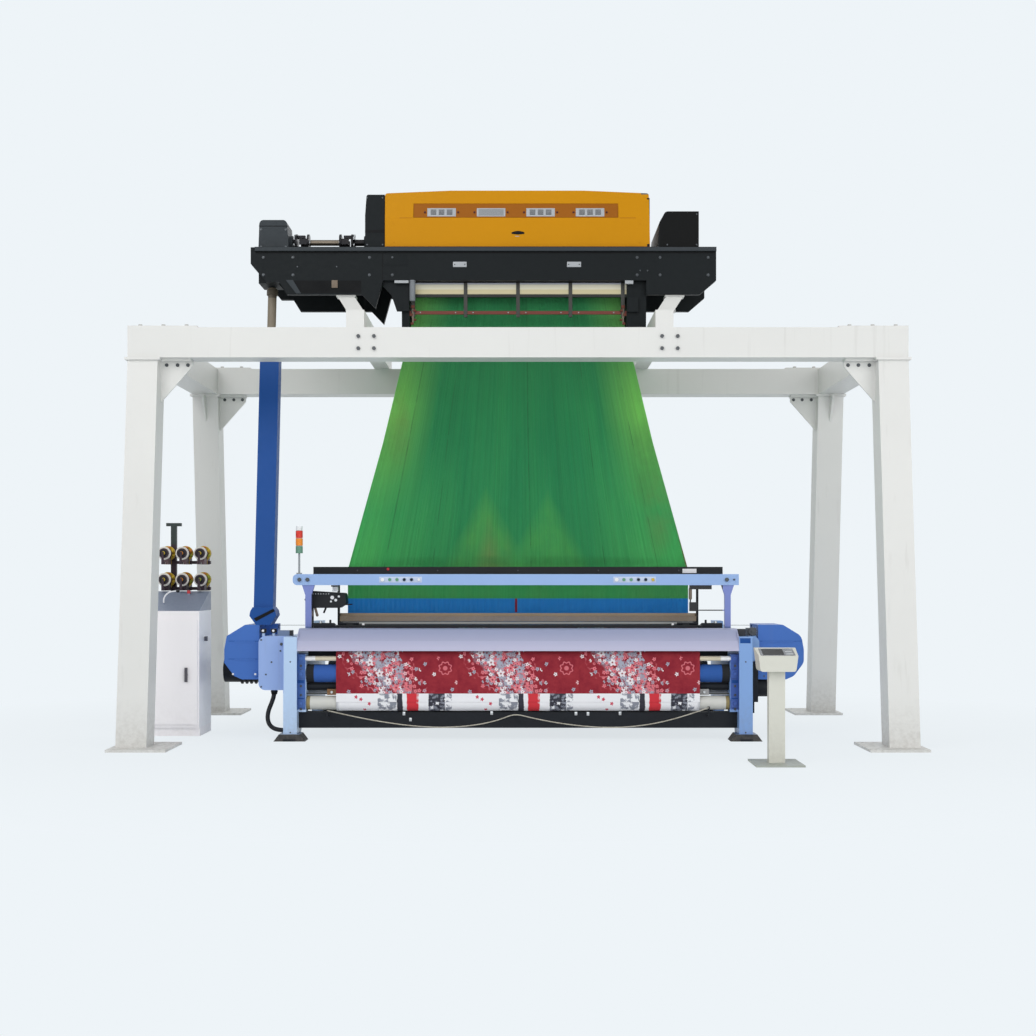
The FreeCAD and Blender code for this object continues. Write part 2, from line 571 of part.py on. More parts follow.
def head_frame():
    parts = [head_rail("head_front_rail", "head_front"),
             head_rail("head_back_rail", "head_back - rail_thick"),
             block("head_front_lip", "head_left + 40", "head_right", "head_front - rail_lip",
                   "head_front", "rail_top - lip_tall", "rail_top")]
    inside = ("head_front + rail_thick", "head_back - rail_thick")
    for tag, low, high in (("left", "head_left", "-well_half"), ("right", "well_half", "head_right")):
        parts.append(block(f"head_{tag}_deck", low, high, *inside, "rail_top - deck_thick", "rail_top"))
    for tag, middle in (("a", "head_left + 30"), ("b", "box_left_edge + 30"), ("c", "head_right - 30")):
        parts.append(block(f"head_cross_{tag}", f"{middle} - 30", f"{middle} + 30", *inside,
                           "rail_low + 150", "rail_top - deck_thick"))
    for side, tag in ((-1, "left"), (1, "right")):
        wide = "hanger_left_wide" if side < 0 else "hanger_right_wide"
        near, far = f"({side}) * well_half", f"({side}) * (well_half + {wide})"
        parts.append(profile(f"head_{tag}_hanger", "YZ", [
            ("head_front + rail_thick", "rail_top - deck_thick"),
            ("head_front + rail_thick", "rail_low - 100"), ("head_front + 90", "guide_low - 90"),
            ("head_front + 180", "guide_low - 90"), ("head_front + 190", "head_low - 46"),
            ("head_back - 190", "head_low - 46"), ("head_back - 180", "guide_low - 90"),
            ("head_back - 90", "guide_low - 90"), ("head_back - rail_thick", "rail_low - 100"),
            ("head_back - rail_thick", "rail_top - deck_thick")],
            wide, near if side > 0 else far))
    parts.append(block("head_shaft_seat", "drive_line_x - seat_wide / 2", "drive_line_x + seat_wide / 2",
                       "head_front + rail_thick",
                       "drive_top_y + 90", "drive_top_z", "rail_top - deck_thick"))
    parts.append(profile("head_gusset", "XZ", [
        ("-well_half - gusset_wide", "rail_low + 20"), ("-well_half - gusset_wide", "rail_low - 45"),
        ("-well_half - gusset_wide + 76", "rail_low - 121"),
        ("-well_half - gusset_wide + 129", "rail_low - gusset_tall"),
        ("-well_half", "rail_low - gusset_tall"), ("-well_half", "rail_low + 20")],
        "gusset_thick", "head_front + rail_thick + 2 - gusset_thick"))
    parts.append(block("head_junction", "well_half + 2", "well_half + 2 + junction_wide",
                       "head_front + rail_thick - 22", "head_front + rail_thick + 30",
                       "rail_low - junction_drop", "rail_low - junction_drop + junction_tall"))
    node("head_frame", parts, [leaning_rod("head_shaft_bore", "stub_radius + run_clearance",
                                           "drive_reach + stub_depth + 1", "0")])


def lean(item):
    """Tilt an object back by the drive shaft's own angle."""
    item.Placement.Rotation = Rotation(Vector(-1, 0, 0), 8)
    item.setExpression("Placement.Rotation.Angle", spell("atan(drive_back / drive_tall)"))
    return item


def leaning_rod(name, radius, reach, start):
    """Rod on the drive shaft's leaning line, measured up from the foot of that line."""
    item = lean(doc.addObject("Part::Cylinder", name))
    along = f"(({start}) / drive_reach)"
    bind(item, Radius=radius, Height=reach)
    return place(item, "drive_line_x", f"drive_foot_y + drive_back * {along}",
                 f"drive_foot_z + drive_tall * {along}")


head_frame()


def hood():
    """Sheet hood: crowned top, front that leans back, vent recess with four louvre plates."""
    low_x, high_x = "hood_left", "hood_right"
    quarter = "(hood_right - hood_left) / 4"

    def shell(name, wall, low):
        return profile(name, "XZ", [
            (f"{low_x} + {wall}", low), (f"{high_x} - {wall}", low),
            (f"{high_x} - {wall} - 10", f"hood_top - hood_crown - {wall}"),
            (f"{high_x} - {quarter}", f"hood_top - {wall}"), (f"{low_x} + {quarter}", f"hood_top - {wall}"),
            (f"{low_x} + {wall}", f"hood_top - hood_crown - {wall}")],
            f"hood_back - hood_front - 2 * {wall}", f"hood_front + {wall}", (2, 3, 4, 5), "hood_round")

    outer = shell("hood_outer", "0", "rail_top")
    lean = profile("hood_lean", "YZ", [
        ("hood_front - 5", "vent_low"), ("hood_front", "vent_low"),
        ("hood_front + hood_slope", "hood_top + 5"), ("hood_front - 5", "hood_top + 5")],
        f"{high_x} - {low_x} + 20", f"{low_x} - 10")
    inner = shell("hood_inner", "(4 * hood_wall)", "rail_top - 1")
    lean_back = "hood_slope * (vent_high - vent_low) / (hood_top - vent_low)"
    floor = f"hood_front + {lean_back} + vent_deep"
    vent = block("hood_vent", "-vent_half - 20", "vent_half - 20", "hood_front - 1", floor,
                 "vent_low", "vent_high")
    grip = rod("hood_grip", "Y", "grip_long / 2", "grip_deep", 0, "hood_front - 1",
               "grip_height - grip_long / 2 + grip_tall")
    grip_mask = block("hood_grip_mask", "-grip_long", "grip_long", "hood_front - 2", "hood_front + 20",
                      "grip_height - grip_long", "grip_height")
    slot = cut("hood_grip_slot", grip, [grip_mask])
    base = cut("hood_sheet", outer, [lean, inner, vent, slot])
    plates = []
    for i in range(4):
        middle = f"-20 + vent_half * ({i} - 1.5) / 2.07"
        plates.append(block(f"hood_louvre_{i}", f"{middle} - vent_plate_long / 2",
                            f"{middle} + vent_plate_long / 2", f"{floor} - 3", f"{floor} + 1",
                            "vent_plate_low", "vent_plate_low + vent_plate_tall"))
    ring = doc.addObject("Part::Torus", "hood_ring")
    ring.Placement.Rotation = Rotation(Vector(1, 0, 0), 90)
    bind(ring, Radius1="hood_ring_radius", Radius2="hood_ring_wire")
    place(ring, "hood_right - 60", "hood_front + 160", "hood_top - hood_crown + 12")
    node("head_hood", [base, *plates, ring])


hood()

node("left_head_box", [profile("left_box_form", "XZ", [
    ("box_left_edge", "rail_top"), ("hood_left - box_gap", "rail_top"),
    ("hood_left - box_gap", "box_left_top"),
    ("box_left_edge + 14", "box_left_top"), ("box_left_edge", "box_left_top - 190")],
    "box_back - box_front", "box_front", (3,), "gear_round / 2"),
    rod("left_box_boss", "X", "joint_radius * 0.8", "30", "box_left_edge - 30",
        "shaft_line_y", "shaft_line_z")],
    [rod("left_box_bore", "X", "stub_radius + run_clearance", "stub_depth + 40", "box_left_edge - 31",
         "shaft_line_y", "shaft_line_z")])

node("right_head_box", [profile("right_box_form", "XZ", [
    ("box_right_low_x", "rail_top"), ("box_right_edge", "rail_top"), ("box_right_edge", "box_right_top"),
    ("box_right_low_x + 70", "box_right_top"), ("box_right_low_x + 14", "box_right_top - 100")],
    "box_back - box_front", "box_front", (3, 4), "gear_round")])

node("top_gearbox", [profile("gearbox_form", "XZ", [
    ("gear_left", "rail_top"), ("gear_right", "rail_top"), ("gear_right - 16", "gear_top"),
    ("gear_left + 10", "gear_top")], "gear_back - gear_front", "gear_front", (2, 3), "gear_round"),
    rod("gearbox_boss", "X", "joint_radius * 0.8", "40", "gear_right - 20", "shaft_line_y", "shaft_line_z")],
    [rod("gearbox_bore", "X", "stub_radius + run_clearance", "stub_depth + 60", "gear_right - stub_depth",
         "shaft_line_y", "shaft_line_z")])


def yoke(name, middle, toward, flat):
    """Fork of a universal joint: flange disc and two drilled ears. Toward points at the flange."""
    disc_low = f"{middle} + ({toward}) * (yoke_reach + yoke_flange / 2) - yoke_flange / 2"
    disc = rod(name + "_disc", "X", "joint_radius", "yoke_flange", disc_low, "shaft_line_y", "shaft_line_z")
    parts = [disc]
    tips = (f"{middle} - ({toward}) * yoke_wide / 2", f"{middle} + ({toward}) * (yoke_reach + 2)")
    low, high = tips if toward > 0 else (tips[1], tips[0])
    for k in (-1, 1):
        near = f"({k}) * (joint_radius - pin_inset - yoke_thick / 2)"
        spread = (f"{near} - yoke_thick / 2", f"{near} + yoke_thick / 2")
        flank = ("-yoke_wide / 2", "yoke_wide / 2")
        across, up = (flank, spread) if flat else (spread, flank)
        parts.append(block(f"{name}_ear_{k + 1}", low, high,
                           f"shaft_line_y + {across[0]}", f"shaft_line_y + {across[1]}",
                           f"shaft_line_z + {up[0]}", f"shaft_line_z + {up[1]}"))
    return parts


def cross_tools(name, middle, radius):
    """The two crossing pins of a universal joint."""
    reach = "2 * (joint_radius - pin_inset)"
    return [rod(name + "_level", "Y", radius, reach, middle,
                "shaft_line_y - joint_radius + pin_inset", "shaft_line_z"),
            rod(name + "_upright", "Z", radius, reach, middle,
                "shaft_line_y", "shaft_line_z - joint_radius + pin_inset")]


def top_shaft():
    parts = []
    parts += yoke("gear_yoke", "joint_left", -1, True)
    parts += yoke("left_tube_yoke", "joint_left", 1, False)
    parts += yoke("right_tube_yoke", "joint_right", -1, False)
    parts += yoke("box_yoke", "joint_right", 1, True)
    reach = "(yoke_reach + yoke_flange)"
    parts.append(rod("cardan_tube", "X", "tube_radius", f"joint_right - joint_left - 2 * ({reach}) + 4",
                     f"joint_left + {reach} - 2", "shaft_line_y", "shaft_line_z"))
    gear_stub = f"joint_left - {reach} - (gear_right - stub_depth) - 2"
    parts.append(rod("gear_stub", "X", "stub_radius", gear_stub, "gear_right - stub_depth + 2",
                     "shaft_line_y", "shaft_line_z"))
    box_stub = f"box_left_edge + stub_depth - 30 - (joint_right + {reach})"
    parts.append(rod("box_stub", "X", "stub_radius", box_stub, f"joint_right + {reach}",
                     "shaft_line_y", "shaft_line_z"))
    bolts = []
    for tag, face, toward in (("gear", f"joint_left - {reach}", -1), ("box", f"joint_right + {reach}", 1)):
        for i in range(6):
            turn = math.radians(60 * i + 30)
            bolts.append(hex_head(f"{tag}_flange_bolt_{i}", "X", face,
                                  f"shaft_line_y + joint_radius * 0.76 * {math.cos(turn):.4f}",
                                  f"shaft_line_z + joint_radius * 0.76 * {math.sin(turn):.4f}", toward))
    holes = cross_tools("left_cross_bore", "joint_left", "cross_radius")
    holes += cross_tools("right_cross_bore", "joint_right", "cross_radius")
    node("top_shaft", parts + bolts, holes)
    spiders = []
    for tag in ("left", "right"):
        hub = block(f"{tag}_cross_hub", f"joint_{tag} - cross_hub / 2", f"joint_{tag} + cross_hub / 2",
                    "shaft_line_y - cross_hub", "shaft_line_y + cross_hub",
                    "shaft_line_z - cross_hub", "shaft_line_z + cross_hub")
        pins = cross_tools(f"{tag}_pin", f"joint_{tag}", "cross_radius")
        spiders.append(join(f"{tag}_spider", [hub, *pins]))
    node("shaft_crosses", spiders, apart=True)


top_shaft()

node("drive_shaft", [
    leaning_rod("drive_tube", "drive_radius", "drive_reach - 30", "20"),
    leaning_rod("drive_collar", "drive_collar", "50", "drive_reach - 70"),
    leaning_rod("drive_top_stub", "stub_radius", "stub_depth + 20", "drive_reach - 20"),
    leaning_rod("drive_foot_stub", "stub_radius", "45", "-24")])


def shaft_guard():
    """Channel round the drive shaft, open at the back, on a faceted knuckle with the foot bearing."""
    length = "(drive_reach * (guard_top - knuckle_top) / drive_tall)"
    foot_y = "(drive_foot_y + drive_back * (knuckle_top - 20 - drive_foot_z) / drive_tall)"
    walls = []
    spans = (
        ("front", "guard_wide", "guard_wall", "-guard_wide / 2", "-guard_deep / 2"),
        ("left", "guard_wall", "guard_deep", "-guard_wide / 2", "-guard_deep / 2"),
        ("right", "guard_wall", "guard_deep", "guard_wide / 2 - guard_wall", "-guard_deep / 2"))
    for tag, wide, deep, shift_x, shift_y in spans:
        wall = lean(doc.addObject("Part::Box", f"guard_{tag}"))
        bind(wall, Length=wide, Width=deep, Height=length)
        walls.append(place(wall, f"drive_line_x + {shift_x}", f"{foot_y} + {shift_y}", "knuckle_top - 20"))
    knuckle = profile("knuckle_form", "XZ", [
        ("drive_line_x - 60", "knuckle_low"), ("drive_line_x + 70", "knuckle_low"),
        ("drive_line_x + 122", "knuckle_low + 85"), ("drive_line_x + 112", "knuckle_low + 130"),
        ("drive_line_x + 90", "knuckle_top"), ("drive_line_x - 90", "knuckle_top"),
        ("drive_line_x - 112", "knuckle_low + 120"), ("drive_line_x - 118", "knuckle_low + 80")],
        "guard_deep + 60", "drive_foot_y - guard_deep / 2 - 26")
    hollow = leaning_rod("knuckle_hollow", "guard_wide / 2 - 2 * guard_wall", "220", "12")
    bore = leaning_rod("knuckle_bore", "stub_radius + run_clearance", "60", "-25")
    bored = cut("knuckle_bored", knuckle, [hollow, bore])
    node("shaft_guard", [*walls, bored])


shaft_guard()


def griffe(label, low, shift):
    """Knife frame: two end bars and the knives that lift the hooks."""
    half = "griffe_long / 2"
    front = f"griffe_mid_y - griffe_deep / 2 + {shift}"
    back = f"griffe_mid_y + griffe_deep / 2 + {shift}"
    parts = [block(f"{label}_{tag}", low_x, high_x, front, back, low, f"{low} + 2 * griffe_bar")
             for tag, low_x, high_x in (("left_bar", f"-{half}", f"-{half} + griffe_bar"),
                                        ("right_bar", f"{half} - griffe_bar", half))]
    step = int(number("knife_count"))
    for i in range(step):
        line = f"{front} + ({i} + 0.5) * griffe_deep / knife_count"
        parts.append(block(f"{label}_knife_{i}", f"-{half} + griffe_bar / 2", f"{half} - griffe_bar / 2",
                           f"{line} - knife_thick / 2", f"{line} + knife_thick / 2",
                           f"{low} + 10", f"{low} + griffe_bar + 20"))
    node(label, parts)


griffe("griffe_a", "griffe_low", "0")
griffe("griffe_b", "(griffe_low + griffe_step)", "griffe_deep / knife_count / 2")


def hook_modules():
    """Row of selector modules on their bottom board, over the well in the head frame."""
    parts = [block("module_board", "-module_half", "module_half", "module_front", "module_back",
                   "module_low", "module_low + 46")]
    count = int(number("module_count"))
    for i in range(count):
        low = f"-module_half + {i} * 2 * module_half / module_count + module_gap / 2"
        parts.append(block(f"module_{i}", low, f"{low} + 2 * module_half / module_count - module_gap",
                           "module_front + 20", "module_back - 20", "module_low + 40", "module_top"))
    for k, y in enumerate(("module_front + 20", "module_back - 60")):
        parts.append(block(f"module_rail_{k}", "-well_half", "well_half", y, f"{y} + 40",
                           "module_low + 60", "module_low + 100"))
    node("hook_modules", parts)


hook_modules()


def cord_guide():
    """Front and back guide: pale panel, posts and the cross bar that steady the cords."""
    parts = []
    for tag, line in (("front", "guide_front"), ("back", "guide_back")):
        low, high = line, f"{line} + post_deep"
        parts.append(block(f"guide_panel_{tag}", "-well_half", "well_half", f"{low} + 6",
                           f"{low} + 6 + panel_thick", "panel_low", "rail_low - guide_gap"))
        parts.append(block(f"guide_edge_{tag}", "-well_half", "well_half", f"{low} + 2", high,
                           "panel_low - 26", "panel_low"))
        parts.append(block(f"guide_bar_{tag}", "-well_half", "well_half", f"{low} + 4", f"{high} - 4",
                           "bar_low", "bar_low + bar_tall"))
        for i in range(5):
            middle = f"({i} - 2) * (well_half - post_wide) / 2"
            parts.append(block(f"guide_post_{tag}_{i}", f"{middle} - post_wide / 2",
                               f"{middle} + post_wide / 2", low, high, "guide_low", "rail_low - guide_gap"))
    for side in (-1, 1):
        edge = f"({side}) * (well_half - post_wide / 2)"
        parts.append(block(f"guide_tie_{side + 1}", f"{edge} - post_wide / 2", f"{edge} + post_wide / 2",
                           "guide_front", "guide_back + post_deep", "module_low + 10",
                           "rail_low - guide_gap"))
    node("cord_guide", parts)


cord_guide()

# ---------------------------------------------------------------- harness


def ridged_ring(half, front, back, level, count, deep):
    """Closed outline, level, whose long sides are folded into ridges."""
    spots = []
    for i in range(count):
        for share, step in ((0, 0), (0.5, deep)):
            spots.append(Vector(-half + 2 * half * (i + share) / count, front + step, level))
    for i in range(count, 0, -1):
        for share, step in ((0, 0), (-0.5, deep)):
            spots.append(Vector(-half + 2 * half * (i + share) / count, back - step, level))
    return Part.makePolygon(spots + [spots[0]])


def ridged_fan(top, foot):
    """Ruled solid between two ridged outlines."""
    return Part.makeLoft([ridged_ring(*foot), ridged_ring(*top)], True, True)


fan_ridges = int(number("fan_ridges"))
heddle_ridges = int(number("heddle_ridges"))
board_top = number("board_low + board_thick")
ridge_deep = number("ridge_deep")
node("harness_cords", [shaped("harness_fan", ridged_fan(
    (number("fan_top_half"), number("fan_top_front"), number("fan_top_back"), number("fan_top"),
     fan_ridges, ridge_deep),
    (number("fan_foot_half"), number("fan_foot_front"), number("fan_foot_back"), board_top,
     fan_ridges, ridge_deep)))])


def harness_frame():
    """Comber board on top and spring bar below, held apart by two side rods."""
    middle = "(heddle_front + heddle_back) / 2"
    spring_top = "(spring_bar_low + spring_bar_tall)"
    parts = [
        block("comber_bar", "-board_half", "board_half", "board_front", "board_back", "board_low",
              "board_low + board_thick"),
        block("spring_bar", "-frame_mid_x + cheek_thick / 2", "frame_mid_x - cheek_thick / 2",
              f"{middle} - 40", f"{middle} + 40", "spring_bar_low", spring_top)]
    for side in (-1, 1):
        parts.append(rod(f"side_rod_{side + 1}", "Z", "side_rod_radius", f"board_low - {spring_top} + 4",
                         f"({side}) * side_rod_x", middle, f"{spring_top} - 2"))
    node("comber_board", parts)


harness_frame()

heddle_line = (number("heddle_half"), number("heddle_front"), number("heddle_back"))
node("heddle_curtain", [shaped("heddle_wall", ridged_fan(
    (*heddle_line, number("board_low"), heddle_ridges, ridge_deep),
    (*heddle_line, number("spring_bar_low + spring_bar_tall"), heddle_ridges, ridge_deep)))])

# ---------------------------------------------------------------- loom frame


ROLLERS = (("guide", "guide_radius", "guide_mid_z"), ("take_up", "take_up_radius", "take_up_mid_z"),
           ("cloth_beam", "roll_radius", "cloth_beam_mid_z"))


def roller_line(radius):
    """Y of a roller whose front just clears the web of cloth."""
    return f"(cloth_plane + cloth_thick / 2 + cloth_gap + {radius})"


def left_knobs(label):
    """Two hand knobs and a small case on top of the left gear housing."""
    line = "housing_front + 60"
    parts = [block(label + "_top_case", "-frame_out - 90", "-frame_out + 40", f"{line} - 30",
                   f"{line} + 50", "housing_top - 12", "housing_top + 50")]
    for i in range(2):
        x = f"-(housing_out - knob_inset - {i} * knob_gap)"
        parts.append(rod(f"{label}_knob_stem_{i}", "Z", "knob_radius / 2", "knob_rise + 22", x, line,
                         "housing_top - 20"))
        parts.append(rod(f"{label}_knob_{i}", "Z", "knob_radius", "knob_tall", x, line,
                         "housing_top + knob_rise"))
    return parts


def right_pinion(label):
    """Toothed pinion and its bracket on top of the right housing."""
    x, y, z = number("frame_out + 45"), number("housing_front + 60"), number("housing_top + pinion_radius")
    teeth, radius = int(number("pinion_teeth")), number("pinion_radius")
    rim = []
    for i in range(teeth):
        for share, reach in ((0, 0.82), (0.25, 0.82), (0.35, 1), (0.65, 1), (0.75, 0.82)):
            turn = 2 * math.pi * (i + share) / teeth
            rim.append(Vector(x + radius * reach * math.cos(turn), y, z + radius * reach * math.sin(turn)))
    face = Part.Face(Part.makePolygon([*rim, rim[0]]))
    pinion = shaped(label + "_pinion", face.extrude(Vector(0, number("pinion_thick"), 0)))
    return [pinion,
            block(label + "_pinion_bracket", "frame_out - 10", "frame_out + 80", "housing_front + 80",
                  "housing_front + 130", "housing_top - 8", "housing_top + 2 * pinion_radius - 10"),
            rod(label + "_pinion_shaft", "Y", "pinion_radius / 3", "60", "frame_out + 45",
                "housing_front + 48", "housing_top + pinion_radius"),
            block(label + "_top_case", "frame_out - 96", "frame_out - 20", "housing_front + 40",
                  "housing_front + 120", "side_top - 4", "housing_top + 62")]


def side_frame(label, side):
    """Cast side with its front pillar, arch, gear housing, bearing cheek and levelling feet."""
    inner, outer = "frame_in", "frame_out"

    def span(low, high):
        return (low, high) if side > 0 else (f"-({high})", f"-({low})")

    pillar = block(label + "_pillar", *span("frame_mid_x - pillar_wide / 2", "frame_mid_x + pillar_wide / 2"),
                   "pillar_front", "pillar_front + pillar_wide", "foot_thick", "pillar_top")
    plate = profile(label + "_plate", "YZ", [
        ("pillar_front + pillar_wide / 2", "foot_thick"), ("pillar_front + 3 * pillar_wide", "foot_thick"),
        ("pillar_front + 4 * pillar_wide", "side_low + 90"), ("side_back - 420", "side_low + 90"),
        ("side_back - 260", "foot_thick"), ("side_back", "foot_thick"), ("side_back", "tower_top"),
        ("tower_front", "tower_top"), ("tower_front - 120", "side_top"),
        ("pillar_front + pillar_wide / 2", "side_top")],
        "cheek_thick", span(inner, outer)[0], (2, 3, 8), "foot_wide / 7")
    flange = block(label + "_flange", *span("frame_mid_x - cheek_thick / 2 - flange_reach", outer),
                   "breast_back + 6", "tower_front - 120", "side_top", "pillar_top")
    parts = [pillar, plate, flange]
    middle = f"({side}) * frame_mid_x"
    for tag, line in (("front", "pillar_front + pillar_wide / 2"),
                      ("back", "side_back - foot_deep / 2 - 20")):
        parts.append(profile(f"{label}_{tag}_foot", "XZ", [
            (f"{middle} - foot_wide / 2", "0"), (f"{middle} + foot_wide / 2", "0"),
            (f"{middle} + foot_wide / 3", "foot_tall"), (f"{middle} - foot_wide / 3", "foot_tall")],
            "foot_deep", f"{line} - foot_deep / 2"))
    parts.append(block(label + "_cheek", *span("roller_cheek_in", f"{inner} + 1"),
                       "roller_cheek_front", "roller_cheek_back", "roller_cheek_low", "roller_cheek_top"))
    cap_x = f"({side}) * (roller_cheek_in + roller_cheek_reach / 2)"
    for tag, radius, level in ROLLERS:
        parts.append(block(f"{label}_{tag}_cap", *span("roller_cheek_in + 6", "frame_in - 6"),
                           "roller_cheek_front - cap_proud", "roller_cheek_front + 2",
                           f"{level} - cap_rise", f"{level} + cap_rise"))
        parts.append(hex_head(f"{label}_{tag}_cap_bolt", "Y", cap_x, "roller_cheek_front - cap_proud",
                              level, -1))
    arm_low = "cloth_beam_mid_z + roll_arm_gap"
    parts.append(block(label + "_roll_arm", *span("cloth_half + 40", "roller_cheek_in + 1"),
                       "roller_cheek_front + 30", "roller_cheek_front + 60", arm_low,
                       f"{arm_low} + roll_arm_thick"))
    parts.append(block(label + "_roll_block",
                       *span("cloth_half + roll_block_gap", "cloth_half + roll_block_gap + roll_block_long"),
                       "roller_cheek_front + 20", "roller_cheek_front + 74", f"{arm_low} - 6",
                       f"{arm_low} + 46"))
    parts += left_knobs(label) if side < 0 else right_pinion(label)
    reach = "housing_out" if side < 0 else "right_housing_out"
    low = "housing_low" if side < 0 else "right_housing_low"
    edge, root = f"({side}) * {reach}", f"({side}) * ({outer} - 1)"
    rounds = (0, 3) if side < 0 else (1, 2)
    ends = (edge, root) if side < 0 else (root, edge)
    parts.append(profile(label + "_housing", "XZ", [
        (ends[0], low), (ends[1], low), (ends[1], "housing_top"), (ends[0], "housing_top")],
        "housing_back - housing_front", "housing_front", rounds,
        f"min(housing_round; 0.9 * ({reach} - ({outer})))"))
    holes = []
    for tag, radius, level in ROLLERS:
        holes.append(rod(f"{label}_{tag}_bore", "X", "journal_radius + run_clearance", "120",
                         f"({side}) * (roller_cheek_in + 59) - 60", roller_line(radius), level))
    for tag, line, level in (("warp", "warp_beam_y", "warp_beam_z"), ("rest", "back_rest_y", "rest_level")):
        holes.append(rod(f"{label}_{tag}_bore", "X", "journal_radius + run_clearance", "cheek_thick + 2",
                         f"({side}) * frame_mid_x - cheek_thick / 2 - 1", line, level))
    holes.append(rod(f"{label}_rocker_bore", "X", "rocker_radius + run_clearance", "cheek_thick + 2",
                     f"({side}) * frame_mid_x - cheek_thick / 2 - 1", "sley_pivot_y", "sley_pivot_z"))
    node(label, parts, holes)


side_frame("left_side_frame", -1)
side_frame("right_side_frame", 1)


def cross_beam(label, low_y, deep, low_z, tall, hooks=False):
    parts = [block(label + "_tube", "-frame_in", "frame_in", low_y, f"{low_y} + {deep}", low_z,
                   f"{low_z} + {tall}")]
    if hooks:
        top = f"({low_z} + {tall})"
        for i, (x, z) in enumerate(CORD_HOLDS):
            near = "cord_plane + cord_radius"
            parts.append(block(f"cord_arm_{i}", f"{x} - 9", f"{x} + 9", near, f"{low_y} + 2",
                               f"{top} - 30", f"{top} - 16"))
            parts.append(block(f"cord_hook_{i}", f"{x} - 9", f"{x} + 9", near, f"{near} + 14",
                               f"min({top} - 30; {z} - 4)", f"{z} + 10"))
    node(label, parts)


# Route of the pull cord: two swags between three hooks, in X and Z.
CORD_ROUTE = [
    (-1690, 268), (-1560, 238), (-1420, 208), (-1280, 181), (-1140, 158), (-1000, 139), (-860, 126),
    (-720, 119), (-580, 121), (-440, 131), (-300, 152), (-160, 187), (-30, 240), (110, 205), (250, 176),
    (390, 152), (530, 134), (670, 122), (810, 117), (950, 121), (1090, 134), (1230, 157), (1370, 190),
    (1530, 238), (1690, 292)]
CORD_HOLDS = [(-1690, 268), (-30, 240), (1690, 292)]

cross_beam("front_cross_beam", "cross_front", "cross_deep", "cross_low", "cross_tall", hooks=True)
cross_beam("rear_cross_beam", "rear_cross_front", "rear_cross_deep", "rear_cross_low", "rear_cross_tall")


def arc_path(spots, fixed=None):
    """Wire of straight runs joined by tangent arcs that are as large as the runs allow."""
    edges, start, radii = [], spots[0], []
    for before, at, after in zip(spots, spots[1:], spots[2:]):
        back, ahead = (before - at), (after - at)
        turn = math.pi - back.getAngle(ahead)
        inset = 0.45 * min(back.Length, ahead.Length)
        radius = inset / math.tan(turn / 2)
        if fixed and radius > fixed:
            radius, inset = fixed, fixed * math.tan(turn / 2)
        radii.append(radius)
        first = at + back.normalize() * inset
        last = at + ahead.normalize() * inset
        middle = (first + last) / 2 - at
        centre = at + middle.normalize() * (radius / math.cos(turn / 2))
        crown = centre + (at - centre).normalize() * radius
        edges.append(Part.LineSegment(start, first).toShape())
        edges.append(Part.Arc(first, crown, last).toShape())
        start = last
    edges.append(Part.LineSegment(start, spots[-1]).toShape())
    return Part.Wire(edges), radii


def tube(name, spots, radius):
    """Round cord or hose along a path, checked against its section times its length."""
    path, radii = arc_path(spots)
    heading = spots[1] - spots[0]
    ring = Part.Wire([Part.makeCircle(radius, spots[0], heading)])
    solid = path.makePipeShell([ring], True, False)
    share = solid.Volume / (math.pi * radius * radius * path.Length)
    print(f"{name}: length {path.Length:.0f}, smallest radius {min(radii):.0f}, volume share {share:.3f}")
    return shaped(name, solid)


def breast_beam():
    """Folded cover of the breast beam: leaning front, rounded top, open below and behind."""
    def shell(name, wall):
        return profile(name, "YZ", [
            (f"breast_front + {wall}", f"breast_low - ({wall}) / 10"),
            ("breast_back + 60", f"breast_low - ({wall}) / 10"),
            (f"breast_back - {wall}", f"breast_top - 40 - {wall}"),
            (f"breast_back - {wall}", f"breast_top - {wall}"),
            ("breast_front + 120", f"breast_top - {wall}"),
            (f"breast_front + 12 + {wall}", "breast_low + 90")],
            "2 * breast_half", "-breast_half", (4,), "breast_round")
    outer = shell("breast_outer", "0")
    inner = shell("breast_inner", "breast_wall")
    behind = block("breast_behind", "-breast_half - 1", "breast_half + 1",
                   "breast_back - breast_wall - 60", "breast_back + 80", "breast_low - 10",
                   "breast_top - breast_wall")
    hollow = join("breast_hollow", [inner, behind])
    keep = cut("breast_sheet", outer, [hollow])
    ends = []
    for side in (-1, 1):
        edge = f"({side}) * (breast_half - 5) - 5"
        ends.append(profile(f"breast_end_{side + 1}", "YZ", [
            ("breast_front + 4", "breast_low"), ("breast_front + 150", "breast_low"),
            ("breast_back - 14", "breast_top - 60"), ("breast_back - 14", "breast_top - 6"),
            ("breast_front + 122", "breast_top - 6"), ("breast_front + 30", "breast_top - 60"),
            ("breast_front + 14", "breast_low + 88")], "10", edge))
    node("breast_beam", [keep, *ends])


breast_beam()


def stop_motion():
    """Cable tray, hanging rod, clamp and level bar under the rail's right end."""
    line = "front_rail_front + front_rail_deep / 2"
    x = "cloth_half - stop_rod_inset"
    return [
        block("rail_tray", f"{x} - 8", f"{x} - 8 + tray_long", "front_rail_front + 10",
              "front_rail_front + front_rail_deep - 12", "front_rail_low - tray_tall", "front_rail_low + 2"),
        rod("stop_rod", "Z", "stop_rod_radius", "stop_rod_drop + 2", x, line,
            "front_rail_low - stop_rod_drop"),
        block("stop_clamp", f"{x} - 9", f"{x} - 9 + stop_clamp_wide", f"{line} - 15", f"{line} + 15",
              "front_rail_low - stop_clamp_low", "front_rail_low - stop_clamp_top"),
        rod("stop_bar", "X", "stop_rod_radius - 1", f"post_x - rail_post_wide / 2 + 2 - ({x}) + 8",
            f"{x} - 8", line, "front_rail_low - stop_bar_drop")]


